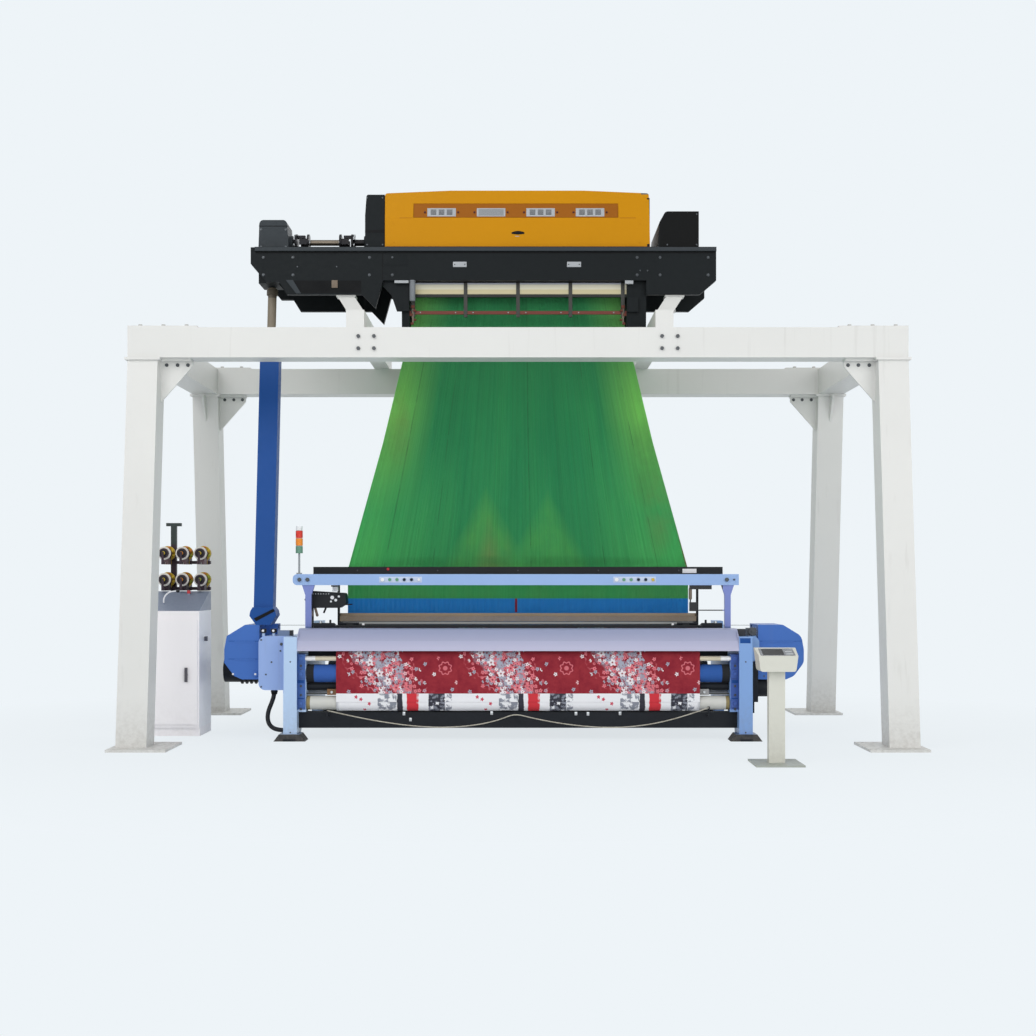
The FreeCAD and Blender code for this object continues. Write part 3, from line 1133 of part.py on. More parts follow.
def front_rail():
    """Rail above the weaver with flared posts and two push-button stations."""
    back = "front_rail_front + front_rail_deep"
    top = "front_rail_low + front_rail_tall"
    rail = profile("rail_form", "XZ", [
        ("rail_left_end", "front_rail_low"), ("rail_right_end", "front_rail_low"), ("rail_right_end", top),
        ("rail_left_end", top)], "front_rail_deep", "front_rail_front", (0, 3), "front_rail_tall * 0.4")
    parts = [rail]
    for side in (-1, 1):
        middle = f"({side}) * post_x"
        parts.append(block(f"rail_post_{side + 1}", f"{middle} - rail_post_wide / 2",
                           f"{middle} + rail_post_wide / 2", f"{back} - 8 - rail_post_deep", f"{back} - 8",
                           "pillar_top", "front_rail_low + 2"))
        parts.append(profile(f"rail_flare_{side + 1}", "XZ", [
            (f"{middle} - rail_post_wide / 2", "front_rail_low - post_flare_tall"),
            (f"{middle} + rail_post_wide / 2", "front_rail_low - post_flare_tall"),
            (f"{middle} + rail_post_wide / 2 + post_flare", "front_rail_low + 2"),
            (f"{middle} - rail_post_wide / 2 - post_flare", "front_rail_low + 2")],
            "rail_post_deep", f"{back} - 8 - rail_post_deep"))
    height = "front_rail_low + front_rail_tall / 2"
    for station in ("station_left", "station_right"):
        for i in range(6):
            radius = "button_radius * 1.35" if i == 0 else "button_radius"
            parts.append(rod(f"{station}_button_{i}", "Y", radius, "button_tall + 4",
                             f"{station} + ({i} - 2.5) * button_pitch", "front_rail_front - button_tall",
                             height))
    for tag, x in (("a", "rail_left_end + 62"), ("b", "rail_left_end + 135"), ("c", "rail_right_end - 110")):
        parts.append(hex_head(f"rail_bolt_{tag}", "Y", x, "front_rail_front", height, -1))
    node("front_rail", parts + stop_motion())


front_rail()

# ---------------------------------------------------------------- rollers, cloth and warp


def roller(label, radius, half, line, level, journal, reach):
    parts = [bar_x(label + "_barrel", radius, half, line, level)]
    parts.append(bar_x(label + "_journals", journal, reach, line, level))
    node(label, parts)


seat = "roller_cheek_in + roller_cheek_thick"
for label, (tag, radius, level) in zip(("guide_rod", "take_up_roller", "cloth_beam"), ROLLERS):
    barrel = "cloth_beam_radius" if label == "cloth_beam" else radius
    roller(label, barrel, "roller_cheek_in - roller_end_gap", roller_line(radius), level,
           "journal_radius", seat)

node("cloth_roll", [cut("cloth_roll_ring", bar_x("cloth_roll_outer", "roll_radius", "cloth_half",
                                                 roller_line("roll_radius"), "cloth_beam_mid_z"),
                        [bar_x("cloth_roll_inner", "cloth_beam_radius", "cloth_half + 5",
                               roller_line("roll_radius"), "cloth_beam_mid_z")])])


def band(name, route, half, thick, radius):
    """Sheet of even thickness along a route in Y and Z, its bends rounded."""
    spots = [Vector(-half, y, z) for y, z in route]
    path, radii = arc_path(spots, radius)
    heading = (spots[1] - spots[0]).normalize()
    across = heading.cross(Vector(1, 0, 0)).normalize() * (thick / 2)
    start = spots[0]
    edge = Part.LineSegment(start - across, start + across).toShape()
    ribbon = path.makePipeShell([Part.Wire([edge])], False, False)
    lengths = [face.extrude(Vector(2 * half, 0, 0)) for face in ribbon.Faces]
    return lengths[0].multiFuse(lengths[1:]).removeSplitter()


def cloth_web():
    """Web of cloth from the fell, over the breast beam's back edge, down to the cloth roll."""
    plane, level = number("cloth_plane"), number("warp_level")
    turn = number("cloth_turn")
    low = number("cloth_beam_mid_z")
    dive = number("cloth_dive")
    route = [(number("fell_line"), level), (turn, level), (turn - dive / 8, level - dive),
             (plane, number("breast_low") - 5), (plane, low)]
    half, thick = number("cloth_half"), number("cloth_thick")
    return shaped("cloth_web_form", band("cloth_web_band", route, half, thick, 60))


node("cloth_web", [cloth_web()])


def warp_sheet():
    """Warp from the beam over the back rest to the fell, split into strands at the reed."""
    level, half = number("warp_level"), number("cloth_half")
    thick = number("cloth_thick") * 0.7
    stand_off = number("cloth_gap") + thick
    rest_y, rest_z, rest = number("back_rest_y"), number("rest_level"), number("back_rest_radius") + stand_off
    beam_y, beam_z = number("warp_beam_y"), number("warp_beam_z")
    yarn = number("warp_yarn_radius") + stand_off
    span = math.dist((rest_y, rest_z), (beam_y, beam_z))
    tilt = math.atan2(rest_z - beam_z, rest_y - beam_y) - math.acos((yarn - rest) / span)
    leave = (beam_y + yarn * math.cos(tilt), beam_z + yarn * math.sin(tilt))
    corner_y = leave[0] - (level - leave[1]) * math.tan(tilt)
    route = [(number("fell_line") + 1, level), (corner_y, level), leave]
    sheet_solid = band("warp_band", route, half, thick, rest)
    dents = int(number("dent_count"))
    pitch = 2 * number("reed_half") / dents
    wide = pitch * number("dent_share") + 4
    low_y = number("fell_line") - 5
    slots = []
    for i in range(dents + 1):
        middle = -number("reed_half") + i * pitch
        slots.append(Part.makeBox(wide, number("reed_front + reed_thick + 30") - low_y, 40,
                                  Vector(middle - wide / 2, low_y, level - 20)))
    return shaped("warp_sheet_form", sheet_solid.cut(Part.makeCompound(slots)))


node("warp_sheet", [warp_sheet()])


def warp_beam():
    """Beam with two flanges and the wound warp between them."""
    line, level = "warp_beam_y", "warp_beam_z"
    parts = [bar_x("warp_yarn", "warp_yarn_radius", "warp_flange_x", line, level),
             bar_x("warp_barrel", "warp_barrel_radius", "warp_flange_x + 180", line, level),
             bar_x("warp_journal", "journal_radius", "frame_mid_x", line, level)]
    for side in (-1, 1):
        flange_x = f"({side}) * (warp_flange_x + warp_flange_thick / 2) - warp_flange_thick / 2"
        parts.append(rod(f"warp_flange_{side + 1}", "X", "warp_flange_radius", "warp_flange_thick",
                         flange_x, line, level))
        parts.append(rod(f"warp_gear_{side + 1}", "X", "warp_barrel_radius * 2.2", "30",
                         f"({side}) * (warp_flange_x + 140) - 15", line, level))
    node("warp_beam", parts)


warp_beam()
roller("back_rest", "back_rest_radius", "back_rest_half", "back_rest_y",
       "rest_level", "journal_radius", "frame_mid_x")

# ---------------------------------------------------------------- sley, reed and rapiers


def sley():
    """Sley beam with its race and the groove for the reed, on swords from the rocker shaft."""
    groove = block("reed_groove", "-reed_half - 2", "reed_half + 2", "reed_front - reed_gap",
                   "reed_front + reed_thick + reed_gap", "reed_low - reed_gap", "race_top + 1")
    parts = [block("sley_beam", "-sley_half", "sley_half", "sley_front", "sley_back", "sley_low", "race_top"),
             bar_x("rocker_shaft", "rocker_radius", "frame_mid_x", "sley_pivot_y", "sley_pivot_z")]
    for i in (-1, 0, 1):
        middle = f"({i}) * sword_x"
        parts.append(profile(f"sword_{i + 1}", "YZ", [
            ("sley_pivot_y - 55", "sley_pivot_z - 40"), ("sley_pivot_y + 55", "sley_pivot_z - 40"),
            ("sley_pivot_y + 45", "sley_pivot_z + 120"), ("sley_back - 4", "sley_low + 4"),
            ("sley_front + 4", "sley_low + 4"), ("sley_pivot_y - 55", "sley_pivot_z + 120")],
            "sword_wide", f"{middle} - sword_wide / 2"))
    node("sley", parts, [groove])


sley()


def reed():
    """Reed: one wall with a row of gaps between its dents, and a band above and below."""
    half, dents = number("reed_half"), int(number("dent_count"))
    low, high = number("reed_low"), number("reed_top")
    front, thick, edge = number("reed_front"), number("reed_thick"), number("reed_band")
    pitch = 2 * half / dents
    gap = pitch * (1 - number("dent_share"))
    outline = Part.makePolygon([Vector(x, front, z) for x, z in (
        (-half, low), (half, low), (half, high), (-half, high), (-half, low))])
    wires = [outline]
    for i in range(dents):
        middle = -half + (i + 0.5) * pitch
        wires.append(Part.makePolygon([Vector(middle + x * gap / 2, front, z) for x, z in (
            (-1, low + edge), (1, low + edge), (1, high - edge), (-1, high - edge), (-1, low + edge))]))
    return shaped("reed_wall", Part.Face(wires, "Part::FaceMakerBullseye").extrude(Vector(0, thick, 0)))


node("reed", [reed()])


def rapier(label, side):
    """Rapier head with its tapered nose on the end of its tape."""
    tip, root = f"({side}) * rapier_tip_x", f"({side}) * (rapier_tip_x + rapier_head_long)"
    low_y = "rapier_mid_y - rapier_head_wide / 2"
    head = profile(label + "_head", "XZ", [
        (root, "rapier_low"), (f"{tip} + ({side}) * 30", "rapier_low"), (tip, "rapier_low + 6"),
        (tip, "rapier_low + 12"), (f"{tip} + ({side}) * 50", "rapier_low + rapier_head_tall"),
        (root, "rapier_low + rapier_head_tall")], "rapier_head_wide", low_y)
    far = "wheel_right_x" if side > 0 else "wheel_left_x"
    near = f"({side}) * (rapier_tip_x + rapier_head_long - 10)"
    low, high = (near, far) if side > 0 else (far, near)
    tape = block(label + "_tape", low, high, "rapier_mid_y - tape_wide / 2", "rapier_mid_y + tape_wide / 2",
                 "rapier_low", "rapier_low + tape_thick")
    node(label, [head, tape])


rapier("left_rapier", -1)
rapier("right_rapier", 1)


def rapier_wheel(label, side):
    """Tape wheel on its axle, with round windows in the web."""
    middle = "wheel_right_x" if side > 0 else "wheel_left_x"
    low = "rapier_mid_y - wheel_thick / 2"
    rim = rod(label + "_disc", "Y", "wheel_radius", "wheel_thick", middle, low, "wheel_level")
    axle = rod(label + "_axle", "Y", "axle_radius", "170", middle, "rapier_mid_y - 100", "wheel_level")
    tools = []
    for i in range(int(number("wheel_holes"))):
        turn = math.radians(360 * i / number("wheel_holes"))
        tools.append(rod(f"{label}_window_{i}", "Y", "wheel_radius / 5", "wheel_thick + 4",
                         f"{middle} + wheel_radius * 0.58 * {math.cos(turn):.4f}", f"{low} - 2",
                         f"wheel_level + wheel_radius * 0.58 * {math.sin(turn):.4f}"))
    node(label, [rim, axle], tools)


rapier_wheel("left_rapier_wheel", -1)
rapier_wheel("right_rapier_wheel", 1)


def wheel_cover(label, side):
    """Shell over a rapier wheel: facets at the left, a round back at the right, two pressed ribs."""
    near = "cover_right_in" if side > 0 else "cover_left_in"
    far = "cover_right_out" if side > 0 else "cover_left_out"
    deep = "cover_right_in" if side > 0 else "cover_left_deep"
    middle = "wheel_right_x" if side > 0 else "wheel_left_x"

    def outline(name, root, wall, low, depth):
        inner, outer = f"({side}) * ({root} + {wall})", f"({side}) * ({far} - {wall})"
        top, foot = f"cover_top - {wall}", f"cover_low + {wall}"
        points = [(inner, foot), (inner, top), (f"({side}) * ({far} - 186 - 0.3 * {wall})", top),
                  (f"{outer} - ({side}) * 22", f"cover_top - 100 - {wall} / 2"), (outer, "cover_top - 220"),
                  (outer, "cover_low + 150"), (f"{outer} - ({side}) * 90", f"cover_low + 30 + {wall} / 2"),
                  (f"{outer} - ({side}) * 160", foot)]
        rounds = (3, 4, 5, 6) if side > 0 else ()
        return profile(name, "XZ", points, depth, low, rounds, "cover_round")

    shell = [outline(label + "_outer", near, "0", "cover_front", "cover_back - cover_front")]
    hollow = [outline(label + "_inner", near, "cover_wall", "cover_front + cover_wall",
                      "cover_back - cover_front - 2 * cover_wall")]
    if side < 0:
        ledge = "housing_back + 2"
        shell.append(outline(label + "_deep_outer", deep, "0", ledge, f"cover_back - ({ledge})"))
        hollow.append(outline(label + "_deep_inner", deep, "cover_wall", f"{ledge} + cover_wall",
                              f"cover_back - ({ledge}) - 2 * cover_wall"))
    slot_x = (f"{deep} - 5", f"{deep} + cover_wall + 5")
    slot_x = slot_x if side > 0 else (f"-({slot_x[1]})", f"-({slot_x[0]})")
    slot = block(label + "_tape_slot", *slot_x, "rapier_mid_y - tape_wide", "rapier_mid_y + tape_wide",
                 "rapier_low - 24", "cover_top - cover_wall")
    boss = rod(label + "_boss", "Y", "cover_boss", "50", middle, "cover_back - cover_wall - 48",
               "wheel_level")
    bore = rod(label + "_bore", "Y", "axle_radius + run_clearance", "60", middle,
               "cover_back - cover_wall - 49", "wheel_level")
    ribs = []
    ends = (f"({side}) * ({near} + 40)", f"({side}) * ({far} - 90)")
    low, high = ends if side > 0 else ends[::-1]
    for i, level in enumerate(("cover_top - 160", "cover_top - 320")):
        ribs.append(block(f"{label}_rib_{i}", low, high, "cover_front - cover_rib", "cover_front + 2", level,
                          f"{level} + 14"))
    outer = join(label + "_forms", shell) if side < 0 else shell[0]
    sheet_metal = cut(label + "_sheet", outer, [*hollow, slot])
    node(label, [sheet_metal, boss, *ribs], [bore])


wheel_cover("left_wheel_cover", -1)
wheel_cover("right_wheel_cover", 1)


def weft_selector():
    """Rounded selector unit on its bracket, with the eyelets that present the weft."""
    middle = "(selector_low + selector_top) / 2"
    form = profile("selector_form", "XZ", [
        ("selector_left", middle), ("selector_left + 40", "selector_low"),
        ("selector_right - 60", "selector_low"), ("selector_right", "selector_low + 40"),
        ("selector_right - 10", "selector_top - 20"), ("selector_left + 60", "selector_top")],
        "selector_back - selector_front", "selector_front", (1, 4, 5), "selector_round / 2")
    leg_x = ("-post_x - 25", "-post_x + 25")
    foot = block("selector_foot", *leg_x, "selector_front + 20", "selector_back - 20", "pillar_top",
                 "pillar_top + 14")
    stem = block("selector_stem", *leg_x, "selector_front + 40", "selector_front + 84", "pillar_top",
                 "selector_low + 60")
    parts = [form, foot, stem]
    for i in range(8):
        parts.append(rod(f"selector_finger_{i}", "X", "5", "56", "selector_right - 16",
                         f"selector_front + 20 + {i} * 20", "selector_low + 30"))
    node("weft_selector", parts)


weft_selector()


def signal_tower():
    """Signal tower: pole, three lenses and a cap."""
    foot = "front_rail_low + front_rail_tall"
    line = "front_rail_front + front_rail_deep / 2"
    parts = [rod("tower_pole_rod", "Z", "tower_pole", "tower_pole_tall", "tower_x", line, foot)]
    parts.append(rod("tower_foot", "Z", "tower_radius * 0.8", "12", "tower_x", line, foot))
    for i in range(4):
        low = f"{foot} + tower_pole_tall + {i} * tower_segment"
        parts.append(rod(f"tower_lens_{i}", "Z", "tower_radius" if i < 3 else "tower_radius * 0.9",
                         "tower_segment - 6" if i < 3 else "tower_segment * 0.5", "tower_x", line, low))
        if i < 3:
            parts.append(rod(f"tower_ring_{i}", "Z", "tower_radius * 0.85", "tower_segment",
                             "tower_x", line, low))
    node("signal_tower", parts)


signal_tower()


def motor(label, side):
    """Finned motor bolted to the outside of a side frame."""
    outer = "frame_out"
    start = "-motor_out" if side < 0 else outer
    parts = [rod(label + "_can", "X", "motor_radius", "motor_long", start, "motor_mid_y", "motor_mid_z"),
             rod(label + "_flange", "X", "motor_radius + 25", "24",
                 f"-({outer}) - 24" if side < 0 else outer, "motor_mid_y", "motor_mid_z")]
    for i in range(12):
        spot = f"{outer} + 90 + {i} * 44"
        parts.append(rod(f"{label}_fin_{i}", "X", "motor_radius + 18", "12",
                         f"-({spot}) - 12" if side < 0 else spot, "motor_mid_y", "motor_mid_z"))
    parts.append(block(label + "_box", f"-({outer}) - 320", f"-({outer}) - 140", "motor_mid_y - 70",
                       "motor_mid_y + 70", "motor_mid_z + motor_radius - 10",
                       "motor_mid_z + motor_radius + 80"))
    node(label, parts)


motor("drive_motor", -1)


def take_up_motor():
    """Take-up motor and gear case on the outside of the right side frame."""
    front, low, radius = "take_up_case_front", "take_up_case_low", "take_up_can_radius"
    line, level = f"{front} + 110", f"{low} + 120"
    parts = [block("take_up_case", "frame_out", "frame_out + take_up_case_wide", front,
                   f"{front} + take_up_case_deep", low, "right_housing_low - 20"),
             rod("take_up_can", "X", radius, "take_up_can_long", "frame_out", line, level),
             rod("take_up_cap", "X", f"{radius} - 18", "take_up_can_long + 22", "frame_out", line, level),
             block("take_up_duct", "frame_out", "frame_out + 60", f"{front} + 20", f"{front} + 140",
                   f"{low} - 100", f"{low} + 10")]
    node("take_up_motor", parts)


take_up_motor()


def hose():
    """Hose from under the left gear housing to the foot of the side frame."""
    line = number("housing_front + 90")
    edge, low = -number("housing_out"), number("housing_low")
    route = [(edge + 126, low), (edge + 126, low - 50), (edge + 102, low - 122), (edge + 70, low - 198),
             (edge + 64, low - 276), (edge + 94, low - 338), (edge + 166, low - 368),
             (-number("frame_out"), low - 368)]
    return tube("hose_run", [Vector(x, line, z) for x, z in route], number("hose_radius"))


node("hose", [hose()])
cord_plane = number("cord_plane")
cord_spots = [Vector(x, cord_plane, z) for x, z in CORD_ROUTE]
node("stop_cord", [tube("cord_run", cord_spots, number("cord_radius"))])

# ---------------------------------------------------------------- beside the loom


def cabinet():
    """Control cabinet: sloping top with a bent arm and a button, plinth, knob on its cheek."""
    body = profile("cabinet_form", "YZ", [
        ("cabinet_front", "0"), ("cabinet_back", "0"), ("cabinet_back", "cabinet_crest"),
        ("cabinet_back - 60", "cabinet_crest"), ("cabinet_front", "cabinet_brow")],
        "cabinet_right - cabinet_left", "cabinet_left")
    plinth = block("cabinet_plinth_cut", "cabinet_left - 1", "cabinet_right + 1", "cabinet_front - 1",
                   "cabinet_front + 30", "-1", "80")
    knob = rod("cabinet_knob", "X", "22", "30", "cabinet_right - 1", "cabinet_front + 220", "880")
    left, crest = number("cabinet_left"), number("cabinet_crest")
    line = number("cabinet_front + 154")
    arm = tube("cabinet_arm", [Vector(left + 140, line, crest - 126), Vector(left + 138, line, crest - 56),
                               Vector(left + 185, line, crest - 4), Vector(left + 260, line, crest + 6)],
               number("arm_radius"))
    ball = place(bind(doc.addObject("Part::Sphere", "cabinet_arm_ball"), Radius="arm_ball_radius"),
                 "cabinet_left + 270", "cabinet_front + 154", "cabinet_crest + 6")
    button = rod("cabinet_stop_button", "Z", "stop_button_radius", "45", "cabinet_left + 319",
                 "cabinet_front + 380", "cabinet_crest - 36")
    node("cabinet", [body, knob, arm, ball, button], [plinth])
    front = "cabinet_front - door_thick"
    door = profile("cabinet_door_form", "XZ", [
        ("cabinet_left + door_inset", "door_low"), ("cabinet_right - door_inset", "door_low"),
        ("cabinet_right - door_inset", "door_top"), ("cabinet_left + door_inset", "door_top")],
        "door_thick - 0.5", front, (0, 1, 2, 3), "12")
    node("cabinet_door", [door], [rod("latch_bore", "Y", "latch_stem_radius + run_clearance",
                                      "door_thick + 2", "latch_x", f"{front} - 1", "latch_mid")])
    handle = block("latch_handle", "latch_x - latch_wide / 2", "latch_x + latch_wide / 2",
                   f"{front} - 26", f"{front} - 12", "latch_mid - latch_long / 2",
                   "latch_mid + latch_long / 2")
    boss = rod("latch_boss", "Y", "latch_wide / 2", "14", "latch_x", f"{front} - 14.5", "latch_mid")
    stem = rod("latch_stem", "Y", "latch_stem_radius", "door_thick - 2", "latch_x", f"{front} - 1",
               "latch_mid")
    node("cabinet_latch", [handle, boss, stem])


cabinet()


def feeder_stand():
    """Stand with two rows of weft feeders, each a body with a drum, a disc and an eye."""
    post_half = "stand_post_side / 2"
    base = block("feeder_base", "stand_post_x - stand_base / 2", "stand_post_x + stand_base / 2",
                 "stand_post_y - 150", "stand_post_y + 150", 0, 16)
    post = block("feeder_post", f"stand_post_x - {post_half}", f"stand_post_x + {post_half}",
                 f"stand_post_y - {post_half}", f"stand_post_y + {post_half}", 10, "stand_top")
    tee = block("feeder_tee", "stand_post_x - 70", "stand_post_x + 70",
                f"stand_post_y - {post_half}", f"stand_post_y + {post_half}", "stand_top - 30", "stand_top")
    parts = [base, post, tee]
    front = "stand_post_y - 60 - feeder_long"
    for level in ("feeder_row_high", "feeder_row_low"):
        parts.append(block(f"{level}_arm", "stand_post_x - 20", "feeder_first_x + 2 * feeder_pitch + 60",
                           "stand_post_y - 60", "stand_post_y - 24", f"{level} - 100", f"{level} - 70"))
        for i in range(3):
            spot = f"feeder_first_x + {i} * feeder_pitch"
            tag = f"{level}_{i}"
            for part, radius, reach, start in (
                    ("motor", "feeder_radius * 0.8", "110", "stand_post_y - 70"),
                    ("disc", "feeder_radius * 1.15", "16", "stand_post_y - 86"),
                    ("drum", "feeder_radius * 0.75", "feeder_long - 20", front),
                    ("ring", "feeder_radius", "14", f"{front} + 20")):
                parts.append(rod(f"{tag}_{part}", "Y", radius, reach, spot, start, level))
            parts.append(block(f"{tag}_body", f"{spot} - 34", f"{spot} + 34", "stand_post_y - 200",
                               "stand_post_y + 40", f"{level} - 104", f"{level} - 40"))
            side = (f"{spot} - 10", f"{spot} + 10")
            parts.append(block(f"{tag}_arm", *side, f"{front} - 40", "stand_post_y - 150",
                               f"{level} - 104", f"{level} - 84"))
            parts.append(block(f"{tag}_eye", *side, f"{front} - 40", f"{front} - 28",
                               f"{level} - 104", f"{level} + 12"))
    node("feeder_stand", parts)


feeder_stand()


def pedestal():
    """Terminal on its post: sole plate, post and a head with a sloping display."""
    middle_y = "(pedestal_front + pedestal_deep / 2)"
    sole = block("pedestal_sole_plate", "pedestal_x - pedestal_wide / 2", "pedestal_x + pedestal_wide / 2",
                 "pedestal_front", "pedestal_front + pedestal_deep", 0, "pedestal_sole")
    post = block("pedestal_post", "pedestal_x - pedestal_post_wide / 2",
                 "pedestal_x + pedestal_post_wide / 2", f"{middle_y} - pedestal_post_deep / 2",
                 f"{middle_y} + pedestal_post_deep / 2",
                 "pedestal_sole - 2", "pedestal_head_low + 20")
    front, back = f"{middle_y} - pedestal_head_deep / 2", f"{middle_y} + pedestal_head_deep / 2"
    head = profile("pedestal_head", "XZ", [
        ("pedestal_x - pedestal_head_wide / 2 + 24", "pedestal_head_low"),
        ("pedestal_x + pedestal_head_wide / 2 - 24", "pedestal_head_low"),
        ("pedestal_x + pedestal_head_wide / 2", "pedestal_head_crest"),
        ("pedestal_x - pedestal_head_wide / 2", "pedestal_head_crest")],
        "pedestal_head_deep", front, (0, 1), "22")
    slope = profile("pedestal_slope", "YZ", [
        (f"{front} - 1", "pedestal_head_front"), (f"{back} - 40", "pedestal_head_crest + 1"),
        (f"{front} - 1", "pedestal_head_crest + 1")], "pedestal_head_wide + 4",
        "pedestal_x - pedestal_head_wide / 2 - 2")
    top = cut("pedestal_head_cut", head, [slope])
    node("pedestal", [sole, post, top])


pedestal()

# ---------------------------------------------------------------- checks and files

doc.recompute()
faults = []
for item in doc.Objects:
    if any(word in item.State for word in ("Invalid", "Error")):
        faults.append(f"{item.Name}: {item.State}")
for item in nodes:
    if item.Shape.isNull() or not item.Shape.isValid() or not item.Shape.Solids:
        faults.append(f"{item.Label}: shape is null, broken or holds no solid")
if faults:
    raise SystemExit("\n".join(faults))
for item in nodes:
    item.Shape.exportStep(f"parts/{item.Label}.step")
print(len(nodes), "nodes written")
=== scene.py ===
import bmesh
import bpy
import math
import random
from mathutils import Matrix, Vector


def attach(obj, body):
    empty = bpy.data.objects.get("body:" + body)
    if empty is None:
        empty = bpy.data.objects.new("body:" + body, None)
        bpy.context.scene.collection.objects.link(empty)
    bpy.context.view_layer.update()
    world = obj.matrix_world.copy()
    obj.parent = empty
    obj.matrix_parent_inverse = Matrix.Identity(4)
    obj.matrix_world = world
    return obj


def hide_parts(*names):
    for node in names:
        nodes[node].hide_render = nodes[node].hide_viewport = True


# Looks of the rapier power loom with its Jacquard head and gantry. Metres, in the row frame.

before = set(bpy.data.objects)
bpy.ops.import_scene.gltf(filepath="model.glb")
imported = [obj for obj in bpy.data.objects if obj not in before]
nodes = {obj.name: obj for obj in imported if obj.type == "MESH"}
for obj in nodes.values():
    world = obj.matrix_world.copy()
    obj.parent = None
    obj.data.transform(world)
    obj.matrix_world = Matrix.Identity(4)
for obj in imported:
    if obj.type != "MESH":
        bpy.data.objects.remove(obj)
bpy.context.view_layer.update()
chance = random.Random(11)


# ---------------------------------------------------------------- camera, light and floor

def stage():
    """Camera and four soft lamps."""
    lens = bpy.data.cameras.new("camera")
    lens.sensor_width = 36
    lens.lens = 50.42
    lens.shift_y = 0.058
    camera = bpy.data.objects.new("camera", lens)
    camera.location = (0, -13.43, 1.44)
    camera.rotation_euler = (math.pi / 2, 0, 0)
    bpy.context.collection.objects.link(camera)
    scene = bpy.context.scene
    scene.camera = camera
    scene.view_settings.view_transform = "Standard"
    for name, spot, aim, size, watts in (
            ("key", (-5.5, -9.0, 8.5), (0, 0, 2.2), 6.0, 380),
            ("fill", (7.5, -9.5, 5.0), (0, 0, 1.8), 7.0, 300),
            ("low", (0.0, -9.5, 1.2), (0, 0, 1.6), 5.0, 110),
            ("rim", (2.0, 8.0, 8.0), (0, 0, 2.5), 7.0, 200)):
        lamp = bpy.data.lights.new(name, "AREA")
        lamp.size = size
        lamp.energy = watts
        obj = bpy.data.objects.new(name, lamp)
        obj.location = spot
        obj.rotation_euler = (Vector(aim) - Vector(spot)).to_track_quat("-Z", "Y").to_euler()
        bpy.context.collection.objects.link(obj)


stage()


def srgb(*levels):
    """Linear colour from 0 to 255 levels."""
    out = []
    for level in levels:
        c = level / 255
        out.append(c / 12.92 if c <= 0.04045 else ((c + 0.055) / 1.055) ** 2.4)
    return (*out, 1.0)


def add(kind, props=None, tree=None, **inputs):
    """Add a shader node. An input is a value or another node's socket, which also tells the tree."""
    if tree is None:
        tree = next(value.id_data for value in inputs.values() if isinstance(value, bpy.types.NodeSocket))
    node = tree.nodes.new("ShaderNode" + kind)
    for key, value in (props or {}).items():
        setattr(node, key, value)
    for key, value in inputs.items():
        socket = node.inputs[int(key[1:])] if key[1:].isdigit() else node.inputs[key.replace("_", " ")]
        if isinstance(value, bpy.types.NodeSocket):
            tree.links.new(value, socket)
        else:
            socket.default_value = value
    return node


def maths(how, a, b=0.0, c=0.0):
    """Result of one sum."""
    return add("Math", {"operation": how}, i0=a, i1=b, i2=c).outputs[0]


def times(a, b):
    """Product of two values."""
    return maths("MULTIPLY", a, b)


def apart(a, b):
    """How far two values are apart."""
    return maths("ABSOLUTE", maths("SUBTRACT", a, b))


def times_add(a, b, c):
    """Product of a and b, plus c."""
    return maths("MULTIPLY_ADD", a, b, c)


def parts(vector):
    """The X, Y and Z of a vector or colour."""
    return add("SeparateXYZ", Vector=vector).outputs


def joined(x, y, z):
    """Vector made of its X, Y and Z."""
    return add("CombineXYZ", i0=x, i1=y, i2=z).outputs[0]


def blend(share, a, b, how="MIX"):
    """Colour mixed from a to b."""
    node = add("Mix", {"data_type": "RGBA", "blend_type": how}, i0=share, i6=a, i7=b)
    return node.outputs[2]


def noise(where, scale, detail, rough=0.5):
    """Soft random pattern."""
    node = add("TexNoise", Vector=where, Scale=scale, Detail=detail, Roughness=rough)
    return node.outputs["Fac"]


def ramp(value, low, high, out_low=0.0, out_high=1.0):
    """Value between low and high, drawn out to another range and held at its ends."""
    node = add("MapRange", {"clamp": True}, i0=value, i1=low, i2=high, i3=out_low, i4=out_high)
    return node.outputs[0]


def material(name, flat_map=False):
    """New material, its shader, and the place on the object or on the mesh's own flat map."""
    mat = bpy.data.materials.new(name)
    mat.use_nodes = True
    tree = mat.node_tree
    shader = tree.nodes["Principled BSDF"]
    where = add("UVMap", tree=tree).outputs[0] if flat_map else add("TexCoord", tree=tree).outputs["Object"]
    return mat, shader, where


def stretched(where, x, y, z):
    """Place multiplied along X, Y and Z."""
    return add("Mapping", Vector=where, Scale=(x, y, z)).outputs[0]


def tint(colour, share):
    """The colour made darker or lighter."""
    return tuple(min(1.0, c * share) for c in colour[:3]) + (1.0,)


def plug(value, shader, name):
    """Link a socket to a shader's input."""
    value.id_data.links.new(value, shader.inputs[name])


def bumped(shader, height, strength, distance):
    """Fine relief on the surface."""
    normal = add("Bump", Strength=strength, Distance=distance, Height=height)
    plug(normal.outputs[0], shader, "Normal")


def set_shader(shader, **values):
    """Set inputs of a shader by their names, with underscores for spaces."""
    for key, value in values.items():
        shader.inputs[key.replace("_", " ")].default_value = value


def upward(where):
    """How far a surface looks up."""
    return parts(add("NewGeometry", tree=where.id_data).outputs["Normal"])[2]


def zoned(where, base, zones):
    """Colours laid over base inside boxes: low and high corner in metres, None for open, then the colour."""
    split, soft = parts(where), 0.0004
    for low, high, colour in zones:
        inside = None
        for axis in range(3):
            for edge, toward in ((low[axis], 1), (high[axis], -1)):
                if edge is None:
                    continue
                step = ramp(split[axis], edge, edge + toward * soft)
                inside = step if inside is None else times(inside, step)
        base = blend(inside, base, colour)
    return base


